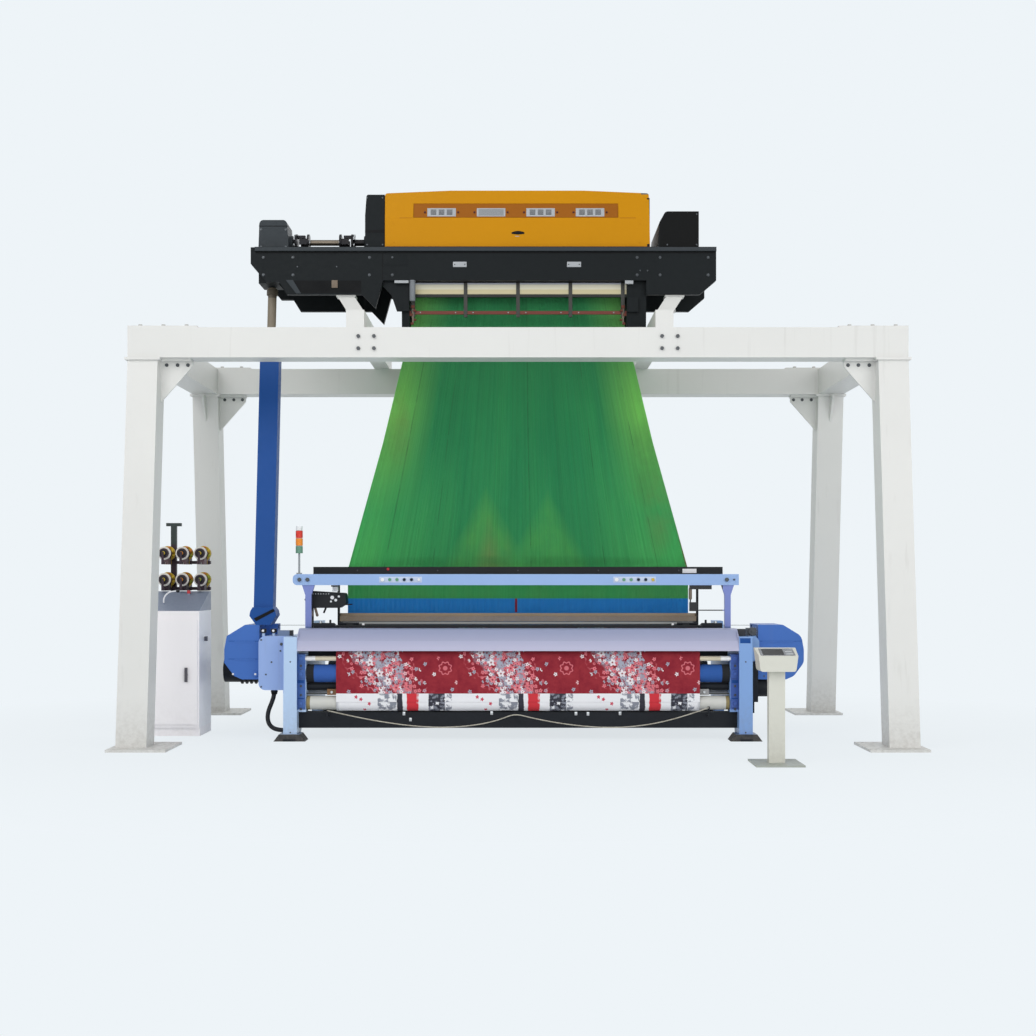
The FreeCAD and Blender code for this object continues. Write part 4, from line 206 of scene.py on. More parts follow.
DUST, SOIL, OIL = srgb(150, 145, 138), srgb(128, 120, 110), srgb(60, 52, 44)


def paint(name, colour, rough=0.38, blotch=0.07, dust=0.12, soil=0.0, shine=0.35, scratches=0.0, zones=(),
          fade=None):
    """Sprayed paint on metal: faint mottling, orange peel, dust on level faces and soil near the floor."""
    mat, shader, where = material(name)
    wide = noise(where, 1.7, 4.0)
    fine = noise(where, 26.0, 5.0, 0.6)
    height = parts(where)[2]
    base = blend(wide, tint(colour, 1 - blotch), tint(colour, 1 + blotch))
    base = blend(ramp(fine, 0.35, 0.7, 0.0, blotch), base, tint(colour, 0.8))
    base = zoned(where, base, zones)
    # Fade: a colour ramp over height; the breast cover uses it for a painted highlight on its lower edge.
    if fade:
        start, end, foot = fade
        base = blend(ramp(height, start, end), base, foot)
    if dust:
        flat = times(ramp(upward(where), 0.6, 0.95), ramp(fine, 0.3, 0.6, 0.4, 1.0))
        base = blend(times(flat, dust), base, DUST)
    if soil:
        low = times(ramp(height, 0.45, 0.0), ramp(fine, 0.38, 0.66, 0.2, 1.0))
        streak = noise(stretched(where, 16, 16, 0.9), 1.0, 4.0)
        low = maths("MAXIMUM", low, ramp(streak, 0.62, 0.8, 0.0, 0.5))
        base = blend(times(low, soil), base, SOIL)
    if scratches:
        marks = noise(stretched(where, 9, 9, 60), 1.0, 8.0, 0.75)
        base = blend(ramp(marks, 0.66, 0.72, 0.0, scratches), base, tint(colour, 1.9))
    plug(base, shader, "Base Color")
    plug(ramp(fine, 0.3, 0.7, rough - 0.06, rough + 0.1), shader, "Roughness")
    bumped(shader, noise(where, 420.0, 2.0), 0.06, 0.0006)
    set_shader(shader, Specular_IOR_Level=shine)
    return mat


def steel(name, colour, rough=0.32, along=(4, 4, 4), soil=0.25, zones=()):
    """Bare metal with fine drawn grain and darker oil stains."""
    mat, shader, where = material(name)
    grain = noise(stretched(where, *along), 60.0, 6.0, 0.7)
    stain = noise(where, 9.0, 5.0, 0.65)
    base = blend(grain, tint(colour, 0.82), tint(colour, 1.12))
    base = blend(ramp(stain, 0.5, 0.75, 0.0, soil), base, OIL)
    plug(zoned(where, base, zones), shader, "Base Color")
    plug(ramp(grain, 0.3, 0.7, rough - 0.08, rough + 0.12), shader, "Roughness")
    bumped(shader, grain, 0.15, 0.0004)
    set_shader(shader, Metallic=1.0)
    return mat


def plastic(name, colour, rough=0.45, grain=900.0, strength=0.12, zones=()):
    """Moulded plastic or rubber with a fine skin."""
    mat, shader, where = material(name)
    wide = noise(where, 7.0, 4.0)
    base = blend(wide, tint(colour, 0.86), tint(colour, 1.14))
    plug(zoned(where, base, zones), shader, "Base Color")
    plug(ramp(wide, 0.3, 0.7, rough - 0.05, rough + 0.08), shader, "Roughness")
    bumped(shader, noise(where, grain, 2.0), strength, 0.0005)
    set_shader(shader, Specular_IOR_Level=0.25)
    return mat


PALE = srgb(238, 244, 248)


def seen_directly(tree):
    """1 where the eye, a reflection or a clear surface looks straight at it."""
    path = add("LightPath", tree=tree).outputs
    share = maths("MAXIMUM", path["Is Camera Ray"], path["Is Transmission Ray"])
    return maths("MAXIMUM", share, path["Is Glossy Ray"])


def floor_look():
    """Pale floor that takes the loom's shadow near it and fades into the pale surround."""
    mat, shader, where = material("floor")
    tree = mat.node_tree
    set_shader(shader, Base_Color=srgb(222, 227, 230), Roughness=0.9)
    split = parts(where)
    flat = joined(times(split[0], 0.8), split[1], 0.0)
    far = add("VectorMath", {"operation": "LENGTH"}, i0=flat).outputs["Value"]
    share = times(ramp(far, 2.2, 5.6, 0.82, 1.0), seen_directly(tree))
    glow = add("Emission", tree=tree, Color=PALE, Strength=1.0)
    mixed = add("MixShader", i0=share, i1=shader.outputs[0], i2=glow.outputs[0])
    tree.links.new(mixed.outputs[0], tree.nodes["Material Output"].inputs[0])
    return mat


def backdrop():
    """Round floor and the world's light, with a pale surround where the eye looks at it."""
    bpy.ops.mesh.primitive_circle_add(radius=60, vertices=96, fill_type="NGON", location=(0, 0, 0))
    floor = bpy.context.object
    floor.name = "floor"
    floor.data.materials.append(floor_look())
    world = bpy.data.worlds.new("world")
    world.use_nodes = True
    tree = world.node_tree
    seen = tree.nodes["Background"]
    set_shader(seen, Color=PALE, Strength=1.0)
    light = add("Background", tree=tree, Color=(1, 1, 1, 1), Strength=0.62)
    mixed = add("MixShader", i0=seen_directly(tree), i1=light.outputs[0], i2=seen.outputs[0])
    tree.links.new(mixed.outputs[0], tree.nodes["World Output"].inputs[0])
    bpy.context.scene.world = world


backdrop()


# ---------------------------------------------------------------- modelling helpers

SHARP = math.radians(35)  # an edge that turns more than this stays crisp
FORWARD, REARWARD = (0, -1, 0), (0, 1, 0)


def skin(mesh, a, b, number=0):
    """Faces between two closed loops of as many points."""
    for k in range(len(a)):
        n = (k + 1) % len(a)
        mesh.faces.new((a[k], a[n], b[n], b[k])).material_index = number


def placed(name, mesh, mats):
    """Object in the scene made of a finished mesh."""
    data = bpy.data.meshes.new(name)
    mesh.to_mesh(data)
    mesh.free()
    for mat in mats:
        data.materials.append(mat)
    obj = bpy.data.objects.new(name, data)
    bpy.context.collection.objects.link(obj)
    return obj


class Solid:
    """Collects simple solids into one mesh. Each solid names its own material."""

    def __init__(self, name, body="machine"):
        self.name, self.body, self.mats = name, body, []
        self.mesh = bmesh.new()

    def number(self, mat):
        """Place of a material in the piece's list."""
        if mat not in self.mats:
            self.mats.append(mat)
        return self.mats.index(mat)

    def moved(self, verts, mat, matrix):
        """Put a new solid in place and give its faces their material."""
        bmesh.ops.transform(self.mesh, matrix=matrix, verts=verts)
        for face in {face for vert in verts for face in vert.link_faces}:
            face.material_index = self.number(mat)

    def box(self, low, high, mat, bevel=0.0):
        low, high = Vector(low), Vector(high)
        verts = bmesh.ops.create_cube(self.mesh, size=1.0)["verts"]
        self.moved(verts, mat, Matrix.Translation((high + low) / 2) @ Matrix.Diagonal((*(high - low), 1)))
        if bevel:
            edges = list({edge for vert in verts for edge in vert.link_edges})
            out = bmesh.ops.bevel(self.mesh, geom=edges, offset=bevel, segments=2, profile=0.6,
                                  affect="EDGES")
            for face in out["faces"]:
                face.material_index = self.number(mat)

    def ball(self, middle, radius, mat, sides=12):
        made = bmesh.ops.create_uvsphere(self.mesh, u_segments=sides, v_segments=sides // 2, radius=radius)
        self.moved(made["verts"], mat, Matrix.Translation(Vector(middle)))

    def closed(self, loops, mat):
        """Faces from loop to loop and over both ends."""
        number = self.number(mat)
        for a, b in zip(loops, loops[1:]):
            skin(self.mesh, a, b, number)
        for end in (loops[0][::-1], loops[-1]):
            self.mesh.faces.new(end).material_index = number

    def lathe(self, start, end, rings, mat, sides=20):
        """Turned solid from start to end. Rings are pairs of share along the axis and radius."""
        start, end = Vector(start), Vector(end)
        axis = (end - start).normalized()
        frame_x = axis.orthogonal().normalized()
        frame_y = axis.cross(frame_x)
        turns = [2 * math.pi * k / sides for k in range(sides)]
        loops = []
        for share, radius in rings:
            middle = start.lerp(end, share)
            spots = [middle + radius * (math.cos(t) * frame_x + math.sin(t) * frame_y) for t in turns]
            loops.append([self.mesh.verts.new(spot) for spot in spots])
        self.closed(loops, mat)

    def rod(self, start, end, radius, mat, sides=16, edge=0.0):
        """Round bar, its ends chamfered by edge."""
        rings = [(0, radius), (1, radius)]
        if edge:
            share = min(0.49, edge / (Vector(end) - Vector(start)).length)
            rings = [(0, radius - edge), (share, radius), (1 - share, radius), (1, radius - edge)]
        self.lathe(start, end, rings, mat, sides)

    def stud(self, x, z, back, front, radius, mat, sides=10, edge=0.001):
        """Round head or boss on an upright face, from back to front in Y."""
        self.rod((x, back, z), (x, front, z), radius, mat, sides, edge)

    def plate(self, outline, low, high, mat, axis="Y"):
        """Outline in X and Z (or in Y and Z for axis X) drawn out from low to high."""
        loops = []
        for depth in (low, high):
            spots = [(a, depth, b) if axis == "Y" else (depth, a, b) for a, b in outline]
            loops.append([self.mesh.verts.new(spot) for spot in spots])
        self.closed(loops, mat)

    def bolt(self, spot, toward, size, mat):
        """Hexagon head on a washer, pointing along toward."""
        toward = Vector(toward).normalized()
        spot = Vector(spot)
        self.lathe(spot, spot + toward * size * 0.18, [(0, size * 1.25), (1, size * 1.25)], mat, 14)
        self.lathe(spot + toward * size * 0.15, spot + toward * size * 0.85,
                   [(0, size), (0.8, size), (1, size * 0.86)], mat, 6)

    def done(self):
        """Turn the mesh into a piece that rides on its body."""
        bmesh.ops.recalc_face_normals(self.mesh, faces=self.mesh.faces[:])
        obj = placed(self.name, self.mesh, self.mats)
        obj.data.shade_smooth()
        obj.data.set_sharp_from_angle(angle=SHARP)
        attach(obj, self.body)
        return obj


def dress(mat, *names):
    """Give CAD nodes a better material."""
    for name in names:
        for slot in nodes[name].material_slots:
            slot.material = mat


# ---------------------------------------------------------------- pull cord and hose

# Routes in X and Z. The cord hangs at Y -0.585 and the hose at Y -0.390.
CORD = [
    (-1.690, 0.268), (-1.560, 0.238), (-1.420, 0.208), (-1.280, 0.181), (-1.140, 0.158), (-1.000, 0.139),
    (-0.860, 0.126), (-0.720, 0.119), (-0.580, 0.121), (-0.440, 0.131), (-0.300, 0.152), (-0.160, 0.187),
    (-0.030, 0.240), (0.110, 0.205), (0.250, 0.176), (0.390, 0.152), (0.530, 0.134), (0.670, 0.122),
    (0.810, 0.117), (0.950, 0.121), (1.090, 0.134), (1.230, 0.157), (1.370, 0.190), (1.530, 0.238),
    (1.690, 0.292)]
HOSE = [(-2.190, 0.440), (-2.190, 0.390), (-2.214, 0.318), (-2.246, 0.242), (-2.252, 0.164), (-2.222, 0.102),
        (-2.150, 0.072), (-2.060, 0.072)]


def smooth_line(name, points, radius, mat):
    """Round cord whose control points are the route's points."""
    data = bpy.data.curves.new(name, "CURVE")
    data.dimensions = "3D"
    data.bevel_depth = radius
    data.bevel_resolution = 3
    line = data.splines.new("NURBS")
    line.points.add(len(points) - 1)
    for point, spot in zip(line.points, points):
        point.co = (*spot, 1)
    line.order_u = 3
    line.use_endpoint_u = True
    line.resolution_u = 6
    data.materials.append(mat)
    obj = bpy.data.objects.new(name, data)
    bpy.context.collection.objects.link(obj)
    return obj


def braid():
    """Soiled cord of laid yarn."""
    mat, shader, where = material("cord_braid")
    lay = add("TexWave", {"wave_type": "BANDS", "bands_direction": "DIAGONAL"}, Vector=where,
              Scale=90.0, Distortion=1.5).outputs["Fac"]
    soil = noise(where, 30.0, 4.0)
    base = blend(lay, srgb(150, 146, 134), srgb(206, 202, 188))
    base = blend(ramp(soil, 0.45, 0.7, 0, 0.4), base, srgb(112, 104, 90))
    plug(base, shader, "Base Color")
    set_shader(shader, Roughness=0.9)
    bumped(shader, lay, 0.5, 0.001)
    return mat


def cords():
    """Pull cord along the front and the hose of the left housing."""
    cord = smooth_line("pull_cord", [(x, -0.585, z) for x, z in CORD], 0.005, braid())
    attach(cord, "machine")
    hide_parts("stop_cord")
    rubber = plastic("hose_skin", srgb(32, 33, 36), 0.5)
    line = smooth_line("housing_hose", [(x, -0.390, z) for x, z in HOSE], 0.020, rubber)
    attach(line, "machine")
    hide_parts("hose")


cords()

# ---------------------------------------------------------------- finishes


def level(low, high, colour):
    """Zone between two heights."""
    return (None, None, low), (None, None, high), colour


def stretch(low, high, colour):
    """Zone between two places along X."""
    return (low, None, None), (high, None, None), colour


PAD_BLACK, ARM_BLACK, POST_BLUE = srgb(32, 34, 38), srgb(46, 48, 52), srgb(92, 112, 160)
GUIDE_BLACK, ROD_WHITE, BRASS = srgb(58, 58, 54), srgb(240, 240, 240), srgb(138, 124, 84)
FEET = [((None, None, None), (None, -0.44, 0.0622), PAD_BLACK),
        ((None, 1.17, None), (None, None, 0.0622), PAD_BLACK)]
CAPS = [((-1.966, -0.600, 0.270), (-1.889, -0.450, 0.780), srgb(66, 104, 172)),
        ((1.889, -0.600, 0.270), (1.966, -0.450, 0.780), srgb(60, 92, 166))]

GANTRY = paint("gantry_paint", srgb(219, 219, 216), 0.42, 0.03, 0.16, 0.30)
HOOD = paint("hood_paint", srgb(197, 135, 7), 0.40, 0.05, 0.06, 0.0, 0.12, zones=[
    ((1.13, None, 4.963), (None, None, None), srgb(96, 96, 94))])
IRON = paint("head_iron", srgb(24, 28, 30), 0.5, 0.14, 0.10, 0.0, 0.12, 0.25, zones=[
    ((1.30, None, 4.44), (None, None, None), srgb(12, 13, 13))])
GEAR = paint("gear_paint", srgb(58, 63, 67), 0.5, 0.12, 0.12, 0.0, 0.12)
LEFT_BLUE = paint("left_frame_blue", srgb(180, 205, 236), 0.36, 0.05, 0.10, 0.25, zones=FEET + CAPS + [
    ((None, None, 0.42), (-2.069, None, 0.9225), srgb(146, 172, 222)),
    ((None, None, 0.946), (-2.155, None, 1.0), srgb(28, 30, 34)),
    ((-2.152, -0.46, 0.9225), (-2.045, -0.36, 1.0), srgb(104, 122, 152)),
    ((-2.045, -0.46, 0.9225), (-2.018, -0.36, 1.0), srgb(30, 32, 36)),
    ((-1.702, None, None), (-1.618, None, 0.46), srgb(122, 88, 54)),
    ((-1.885, None, None), (-1.702, None, 0.46), ARM_BLACK)])
RIGHT_BLUE = paint("right_frame_blue", srgb(128, 164, 217), 0.36, 0.05, 0.10, 0.25, zones=FEET + CAPS + [
    ((2.069, None, 0.42), (None, None, 0.9225), srgb(119, 153, 200)),
    ((2.040, -0.44, 0.9225), (2.16, -0.34, 1.02), srgb(72, 76, 82)),
    ((1.955, -0.46, 0.9195), (2.040, -0.34, 1.0), srgb(40, 42, 48)),
    ((1.618, None, None), (1.702, None, 0.46), srgb(150, 150, 150)),
    ((1.702, None, None), (1.885, None, 0.46), ARM_BLACK)])
RAIL_BLUE = paint("rail_blue", srgb(148, 178, 224), 0.36, 0.05, 0.10, 0.0, zones=[
    level(1.0, 1.376, srgb(122, 136, 198)),
    ((1.55, None, None), (1.86, None, 1.375), srgb(28, 29, 32)),
    ((-1.94, None, None), (-1.86, None, 1.0), POST_BLUE),
    ((1.86, None, None), (1.94, None, 1.0), POST_BLUE)])
DEEP = paint("guard_blue", srgb(30, 76, 144), 0.45, 0.07, 0.06, 0.0, 0.15)
COVER = paint("cover_blue", srgb(64, 108, 184), 0.38, 0.06, 0.08, 0.1, 0.25)
# The breast cover grows paler toward its lower edge: a painted highlight.
LAVENDER = paint("cover_lavender", srgb(154, 160, 190), 0.34, 0.03, 0.05, 0.0,
                 fade=(0.955, 0.815, srgb(182, 182, 206)))
DARK = paint("dark_paint", srgb(30, 33, 38), 0.5, 0.15, 0.10, 0.0, 0.15)
BLACK = plastic("black_plastic", srgb(26, 28, 31), 0.5)
BEIGE = paint("pedestal_paint", srgb(206, 206, 196), 0.42, 0.04, 0.1, 0.2, zones=[
    level(None, 0.0145, srgb(164, 170, 162))])
CABINET = paint("cabinet_white", srgb(252, 249, 251), 0.38, 0.01, 0.0, 0.1, zones=[
    # Cheek on the +X side, raised to near white as painted light to make up for the shade it stands in.
    ((-2.9004, None, 0.08), (None, None, 1.138), srgb(252, 252, 255)),
    level(1.1405, None, srgb(132, 142, 162)),
    ((-2.899, None, 0.80), (None, None, 0.92), srgb(84, 86, 96)),
    ((-3.285, -0.086, 1.212), (-3.1465, -0.066, None), srgb(236, 236, 240)),
    ((-3.1465, -0.10, 1.28), (-3.11, -0.05, None), srgb(28, 28, 32)),
    ((-3.10, 0.13, 1.2955), (-3.06, 0.17, None), srgb(206, 66, 70))])
STEEL = steel("bright_steel", srgb(196, 198, 200), 0.3, (1, 30, 30))
JOINTS = steel("cardan_steel", srgb(44, 44, 46), 0.45, (2, 20, 20), 0.3, zones=[
    stretch(-1.945, -1.665, srgb(122, 112, 100))])
GUIDE_ROD = paint("guide_rod_cream", srgb(216, 206, 182), 0.35, 0.05, 0.0, zones=[
    stretch(1.80, None, ROD_WHITE), stretch(None, -1.80, ROD_WHITE)])
BEAM_ENDS = paint("cloth_beam_tube", srgb(204, 204, 198), 0.46, 0.05, 0.05, zones=[
    stretch(1.850, None, BRASS), stretch(None, -1.850, BRASS)])
BOLT = steel("bolt_steel", srgb(84, 87, 90), 0.4, (10, 10, 10))
LAP_BOLTS = paint("lap_bolts", srgb(84, 87, 90), 0.45, 0.05, 0.1, 0.0, zones=[
    level(3.6025, None, srgb(188, 188, 184))])
LATCH = plastic("latch_grey", srgb(92, 90, 96), 0.4)
ALLOY = steel("light_alloy", srgb(190, 192, 196), 0.4, (2, 20, 20))
SHAFT = paint("shaft_paint", srgb(130, 120, 104), 0.5, 0.15, 0.15, zones=[
    level(4.05, 4.135, srgb(92, 84, 72))])
GRIP = plastic("grip_rubber", srgb(80, 86, 96), 0.8, 260.0, 0.5, zones=[
    stretch(1.616, 1.815, srgb(46, 88, 158)), stretch(1.815, None, PAD_BLACK),
    stretch(-1.815, -1.616, srgb(52, 92, 166)), stretch(None, -1.815, PAD_BLACK)])
GUIDE_POSTS = [stretch(x - 0.0175, x + 0.0175, GUIDE_BLACK) for x in (-0.966, -0.483, 0.0, 0.483, 0.966)]
GUIDE = paint("cord_guide_paint", GUIDE_BLACK, 0.45, 0.05, 0.1, zones=[
    level(4.0565, None, srgb(206, 196, 158)), level(4.100, None, srgb(222, 218, 196)),
    level(4.146, None, srgb(176, 180, 190)), level(4.020, 4.0565, srgb(30, 32, 30)),
    level(3.870, 3.904, srgb(110, 52, 42))] + GUIDE_POSTS)
TOWER = plastic("tower_colours", srgb(196, 200, 204), 0.35, 900.0, 0.05, zones=[
    level(None, 1.664, srgb(150, 154, 158)), level(1.664, 1.7305, srgb(104, 146, 126)),
    level(1.7355, 1.8005, srgb(236, 142, 52)), level(1.8055, 1.8705, srgb(214, 62, 52)),
    level(1.8755, None, srgb(232, 234, 236))])
FEEDERS = paint("feeder_paint", srgb(60, 68, 66), 0.45, 0.15, 0.1, 0.0, 0.2, zones=[
    level(1.30, 1.76, srgb(66, 54, 62)),
    ((None, 0.3635, 1.35), (None, 0.3805, 1.76), srgb(206, 176, 64)),
    ((None, 0.2195, 1.35), (None, 0.2345, 1.76), srgb(232, 228, 220)),
    ((None, 0.2345, 1.395), (None, 0.3635, 1.76), srgb(112, 92, 96))])

dress(GANTRY, "front_left_leg", "front_right_leg", "rear_left_leg", "rear_right_leg", "front_beam",
      "left_end_beam", "right_end_beam", "left_bearer", "right_bearer", "rear_beam")
dress(LAP_BOLTS, "gantry_bolts")
dress(IRON, "head_frame", "left_head_box", "right_head_box")
dress(GEAR, "top_gearbox")
dress(HOOD, "head_hood")
dress(JOINTS, "top_shaft", "shaft_crosses")
dress(STEEL, "griffe_a", "griffe_b", "back_rest")
dress(GUIDE_ROD, "guide_rod")
dress(BEAM_ENDS, "cloth_beam")
dress(SHAFT, "drive_shaft")
dress(DEEP, "shaft_guard")
dress(BLACK, "hook_modules", "comber_board", "weft_selector", "left_rapier", "right_rapier")
dress(GUIDE, "cord_guide")
dress(LEFT_BLUE, "left_side_frame")
dress(RIGHT_BLUE, "right_side_frame")
dress(RAIL_BLUE, "front_rail")
dress(COVER, "left_wheel_cover", "right_wheel_cover")
dress(LAVENDER, "breast_beam")
dress(DARK, "front_cross_beam", "rear_cross_beam", "drive_motor", "take_up_motor")
dress(FEEDERS, "feeder_stand")
dress(ALLOY, "sley", "left_rapier_wheel", "right_rapier_wheel")
dress(GRIP, "take_up_roller")
dress(CABINET, "cabinet", "cabinet_door")
dress(LATCH, "cabinet_latch")
dress(BEIGE, "pedestal")
dress(TOWER, "signal_tower")


def wound_warp():
    """Warp yarn: fine threads side by side, with steel flanges and barrel at the ends."""
    mat, shader, where = material("wound_warp")
    threads = noise(stretched(where, 420, 3, 3), 1.0, 4.0, 0.7)
    bands = noise(stretched(where, 14, 0.4, 0.4), 1.0, 3.0)
    yarn = blend(threads, srgb(168, 160, 142), srgb(222, 216, 200))
    yarn = blend(ramp(bands, 0.4, 0.65, 0.0, 0.35), yarn, srgb(150, 140, 122))
    steel_share = ramp(maths("ABSOLUTE", parts(where)[0]), 1.6995, 1.7)
    plug(blend(steel_share, yarn, srgb(96, 100, 106)), shader, "Base Color")
    set_shader(shader, Roughness=0.75)
    bumped(shader, threads, 0.4, 0.001)
    return mat


dress(wound_warp(), "warp_beam", "warp_sheet")

# ---------------------------------------------------------------- harness

# Fan of cords from the head down to the board: height, half width, front and back.
FAN = ((4.110, 0.953, 0.062, 0.538), (3.840, 0.982, 0.078, 0.516), (2.700, 1.262, 0.128, 0.425),
       (1.545, 1.588, 0.172, 0.338))
# Half width of the fan at a height: the height times the slope, plus the root.
FAN_SLOPE, FAN_ROOT = -0.2476, 1.970
BOARD_LOW, HEDDLE_FOOT = 1.477, 0.500


def strand(mesh, spots, radius, sides=3):
    """Thin straight-sided strand through points that run mostly up and down."""
    turns = [2 * math.pi * k / sides - math.pi / 2 for k in range(sides)]
    loops = [[mesh.verts.new((x + radius * math.cos(t), y + radius * math.sin(t), z)) for t in turns]
             for x, y, z in spots]
    for a, b in zip(loops, loops[1:]):
        for k in range(sides):
            n = (k + 1) % sides
            mesh.faces.new((a[k], b[k], b[n], a[n]))


def ridged(mesh, half, front, back, height, count, deep, shallow):
    """Closed loop at one height, its long sides ridged by turns deep and shallow."""
    places = [-half + 2 * half * i / count for i in range(count + 1)]
    loop = [mesh.verts.new((x, front + (deep if i % 2 else shallow), height)) for i, x in enumerate(places)]
    for i in range(count, -1, -1):
        loop.append(mesh.verts.new((places[i], back - (deep if i % 2 else shallow), height)))
    return loop


def fan_share(split):
    """Place across the fan, from -1 to 1, at any height."""
    return maths("DIVIDE", split[0], times_add(split[2], FAN_SLOPE, FAN_ROOT))


def spot_mask(split, x, z, wide, tall):
    """Soft round patch in X and Z."""
    dx = maths("DIVIDE", maths("SUBTRACT", split[0], x), wide)
    dz = maths("DIVIDE", maths("SUBTRACT", split[2], z), tall)
    return ramp(maths("ADD", times(dx, dx), times(dz, dz)), 1.0, 0.0)


def peak_mask(split, x, top, spread):
    """Soft peak that widens downward from its top."""
    drop = maths("SUBTRACT", top, split[2])
    inside = maths("SUBTRACT", times(drop, spread), apart(split[0], x))
    return ramp(inside, -0.02, 0.12)


def harness_green():
    """Dyed cords: a blue green middle, yellower edges, darker top, worn ochre stains and fine lines."""
    mat, shader, where = material("harness_green")
    split = parts(where)
    share = fan_share(split)
    lines = joined(times(share, 150.0), times(split[1], 3.0), times(split[2], 0.25))
    thread = noise(lines, 1.0, 6.0, 0.7)
    folds = noise(joined(times(share, 6.0), 0.0, times(split[2], 0.6)), 1.0, 4.0)
    patch = noise(where, 3.2, 5.0, 0.65)
    wide = maths("ABSOLUTE", share)
    rise = ramp(split[2], 1.5, 3.3)
    green = blend(ramp(folds, 0.35, 0.65), srgb(42, 164, 102), srgb(58, 178, 108))
    foot = blend(ramp(folds, 0.3, 0.6), srgb(84, 206, 118), srgb(98, 212, 122))
    green = blend(times(ramp(wide, 0.35, 0.9), ramp(rise, 0.7, 0.1)), green, foot)
    green = blend(times(ramp(wide, 0.62, 0.9), ramp(rise, 0.3, 0.8)), green, srgb(148, 228, 118))
    for x, top, spread, tone, strength in (
            (-0.30, 2.28, 0.56, srgb(104, 196, 104), 0.75), (0.28, 2.26, 0.56, srgb(98, 200, 108), 0.75),
            (-0.27, 2.02, 0.34, srgb(138, 176, 104), 0.8), (-0.10, 1.86, 0.18, srgb(130, 178, 104), 0.6)):
        mask = times(peak_mask(split, x, top, spread), ramp(patch, 0.25, 0.55, 0.5, 1.0))
        green = blend(times(mask, strength), green, tone)
    for x, z, wide_m, tall_m, tone, strength in (
            (-1.12, 2.85, 0.13, 0.42, srgb(150, 150, 92), 0.4),
            (-1.18, 2.62, 0.22, 0.30, srgb(112, 196, 102), 0.6),
            (1.22, 2.50, 0.20, 0.48, srgb(98, 172, 90), 0.6),
            (1.33, 2.05, 0.16, 0.45, srgb(140, 170, 100), 0.4),
            (0.0, 1.60, 1.5, 0.06, srgb(48, 150, 74), 0.6)):
        mask = times(spot_mask(split, x, z, wide_m, tall_m), ramp(patch, 0.3, 0.6))
        green = blend(times(mask, strength), green, tone)
    green = blend(ramp(split[2], 3.05, 3.5, 0.0, 0.5), green, srgb(30, 128, 74))
    green = blend(ramp(share, 0.988, 0.994, 0.0, 0.7), green, srgb(150, 84, 58))
    for place in (-0.52, 0.50, -0.80, 0.81, 0.06):
        away = apart(share, times_add(folds, 0.03, place))
        line = times(ramp(away, 0.003, 0.0015), ramp(patch, 0.42, 0.55))
        green = blend(times(line, 0.55), green, srgb(24, 84, 46))
    hair = ramp(thread, 0.30, 0.72, 0.84, 1.14)
    green = blend(1.0, green, joined(hair, hair, hair), "MULTIPLY")
    plug(green, shader, "Base Color")
    set_shader(shader, Roughness=0.62, Sheen_Weight=0.2)
    bumped(shader, thread, 0.2, 0.001)
    return mat


def harness():
    """Thousands of separate cords over a ridged core."""
    mesh = bmesh.new()
    rings = [ridged(mesh, half, front, back, height, 150, 0.012, 0.008) for height, half, front, back in FAN]
    for a, b in zip(rings, rings[1:]):
        skin(mesh, a, b)
    mesh.faces.new(rings[0])
    mesh.faces.new(rings[-1][::-1])
    row_cords, side_cords = 620, 90
    for row in range(4):
        step = 0.002 + 0.004 * (row // 2)
        for i in range(row_cords):
            share = -1 + 2 * (i + 0.5 * (row % 2) + 0.3 * chance.random()) / row_cords
            stray = 0.0016 * (chance.random() - 0.5)
            strand(mesh, [(share * half + stray, back - step if row % 2 else front + step, height)
                          for height, half, front, back in FAN], 0.0016)
    for side in (-1, 1):
        for i in range(side_cords):
            strand(mesh, [(side * (half - 0.0015), front + (back - front) * (i + 0.5) / side_cords, height)
                          for height, half, front, back in FAN], 0.0014)
    obj = placed("harness", mesh, [harness_green()])
    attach(obj, "machine")
    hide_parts("harness_cords")


harness()


def heddle_wires():
    """Green cords above the heddle eyes, blue wires below them and a red mark in the middle."""
    mat, shader, where = material("heddle_wires")
    split = parts(where)
    wires = noise(stretched(where, 260, 8, 0.8), 1.0, 4.0, 0.7)
    wide = noise(stretched(where, 3, 1, 1), 1.0, 3.0)
    green = blend(wires, srgb(42, 150, 84), srgb(84, 196, 116))
    green = blend(ramp(wide, 0.4, 0.65, 0.0, 0.7), green, srgb(86, 172, 96))
    blue = blend(wires, srgb(22, 133, 206), srgb(44, 158, 226))
    beside = apart(split[0], -0.018)
    mark = times(ramp(beside, 0.012, 0.010), ramp(split[2], 1.118, 1.120))
    blue = blend(mark, blue, srgb(150, 40, 60))
    plug(blend(ramp(split[2], 1.245, 1.253), blue, green), shader, "Base Color")
    set_shader(shader, Roughness=0.5)
    bumped(shader, wires, 0.4, 0.002)
    return mat


def heddles():
    """Heddles below the board: two rows of wires over a ridged core, with a swelling at each front eye."""
    mesh = bmesh.new()
    half, front, back, row_wires = 1.598, 0.192, 0.318, 640
    skin(mesh, *[ridged(mesh, half, front, back, height, 140, 0.010, 0.006)
                 for height in (BOARD_LOW, HEDDLE_FOOT)])
    for y, eyes in ((front + 0.002, True), (back - 0.002, False)):
        for i in range(row_wires):
            x = -half + 2 * half * (i + 0.3 + 0.4 * chance.random()) / row_wires
            strand(mesh, [(x, y, BOARD_LOW), (x, y, HEDDLE_FOOT)], 0.0013)
            if eyes:
                low = 1.262 + 0.008 * (i % 3)
                strand(mesh, [(x, y - 0.0003, low + 0.012), (x, y - 0.0003, low)], 0.0019, 4)
    obj = placed("heddles", mesh, [heddle_wires()])
    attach(obj, "machine")
    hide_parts("heddle_curtain")


heddles()


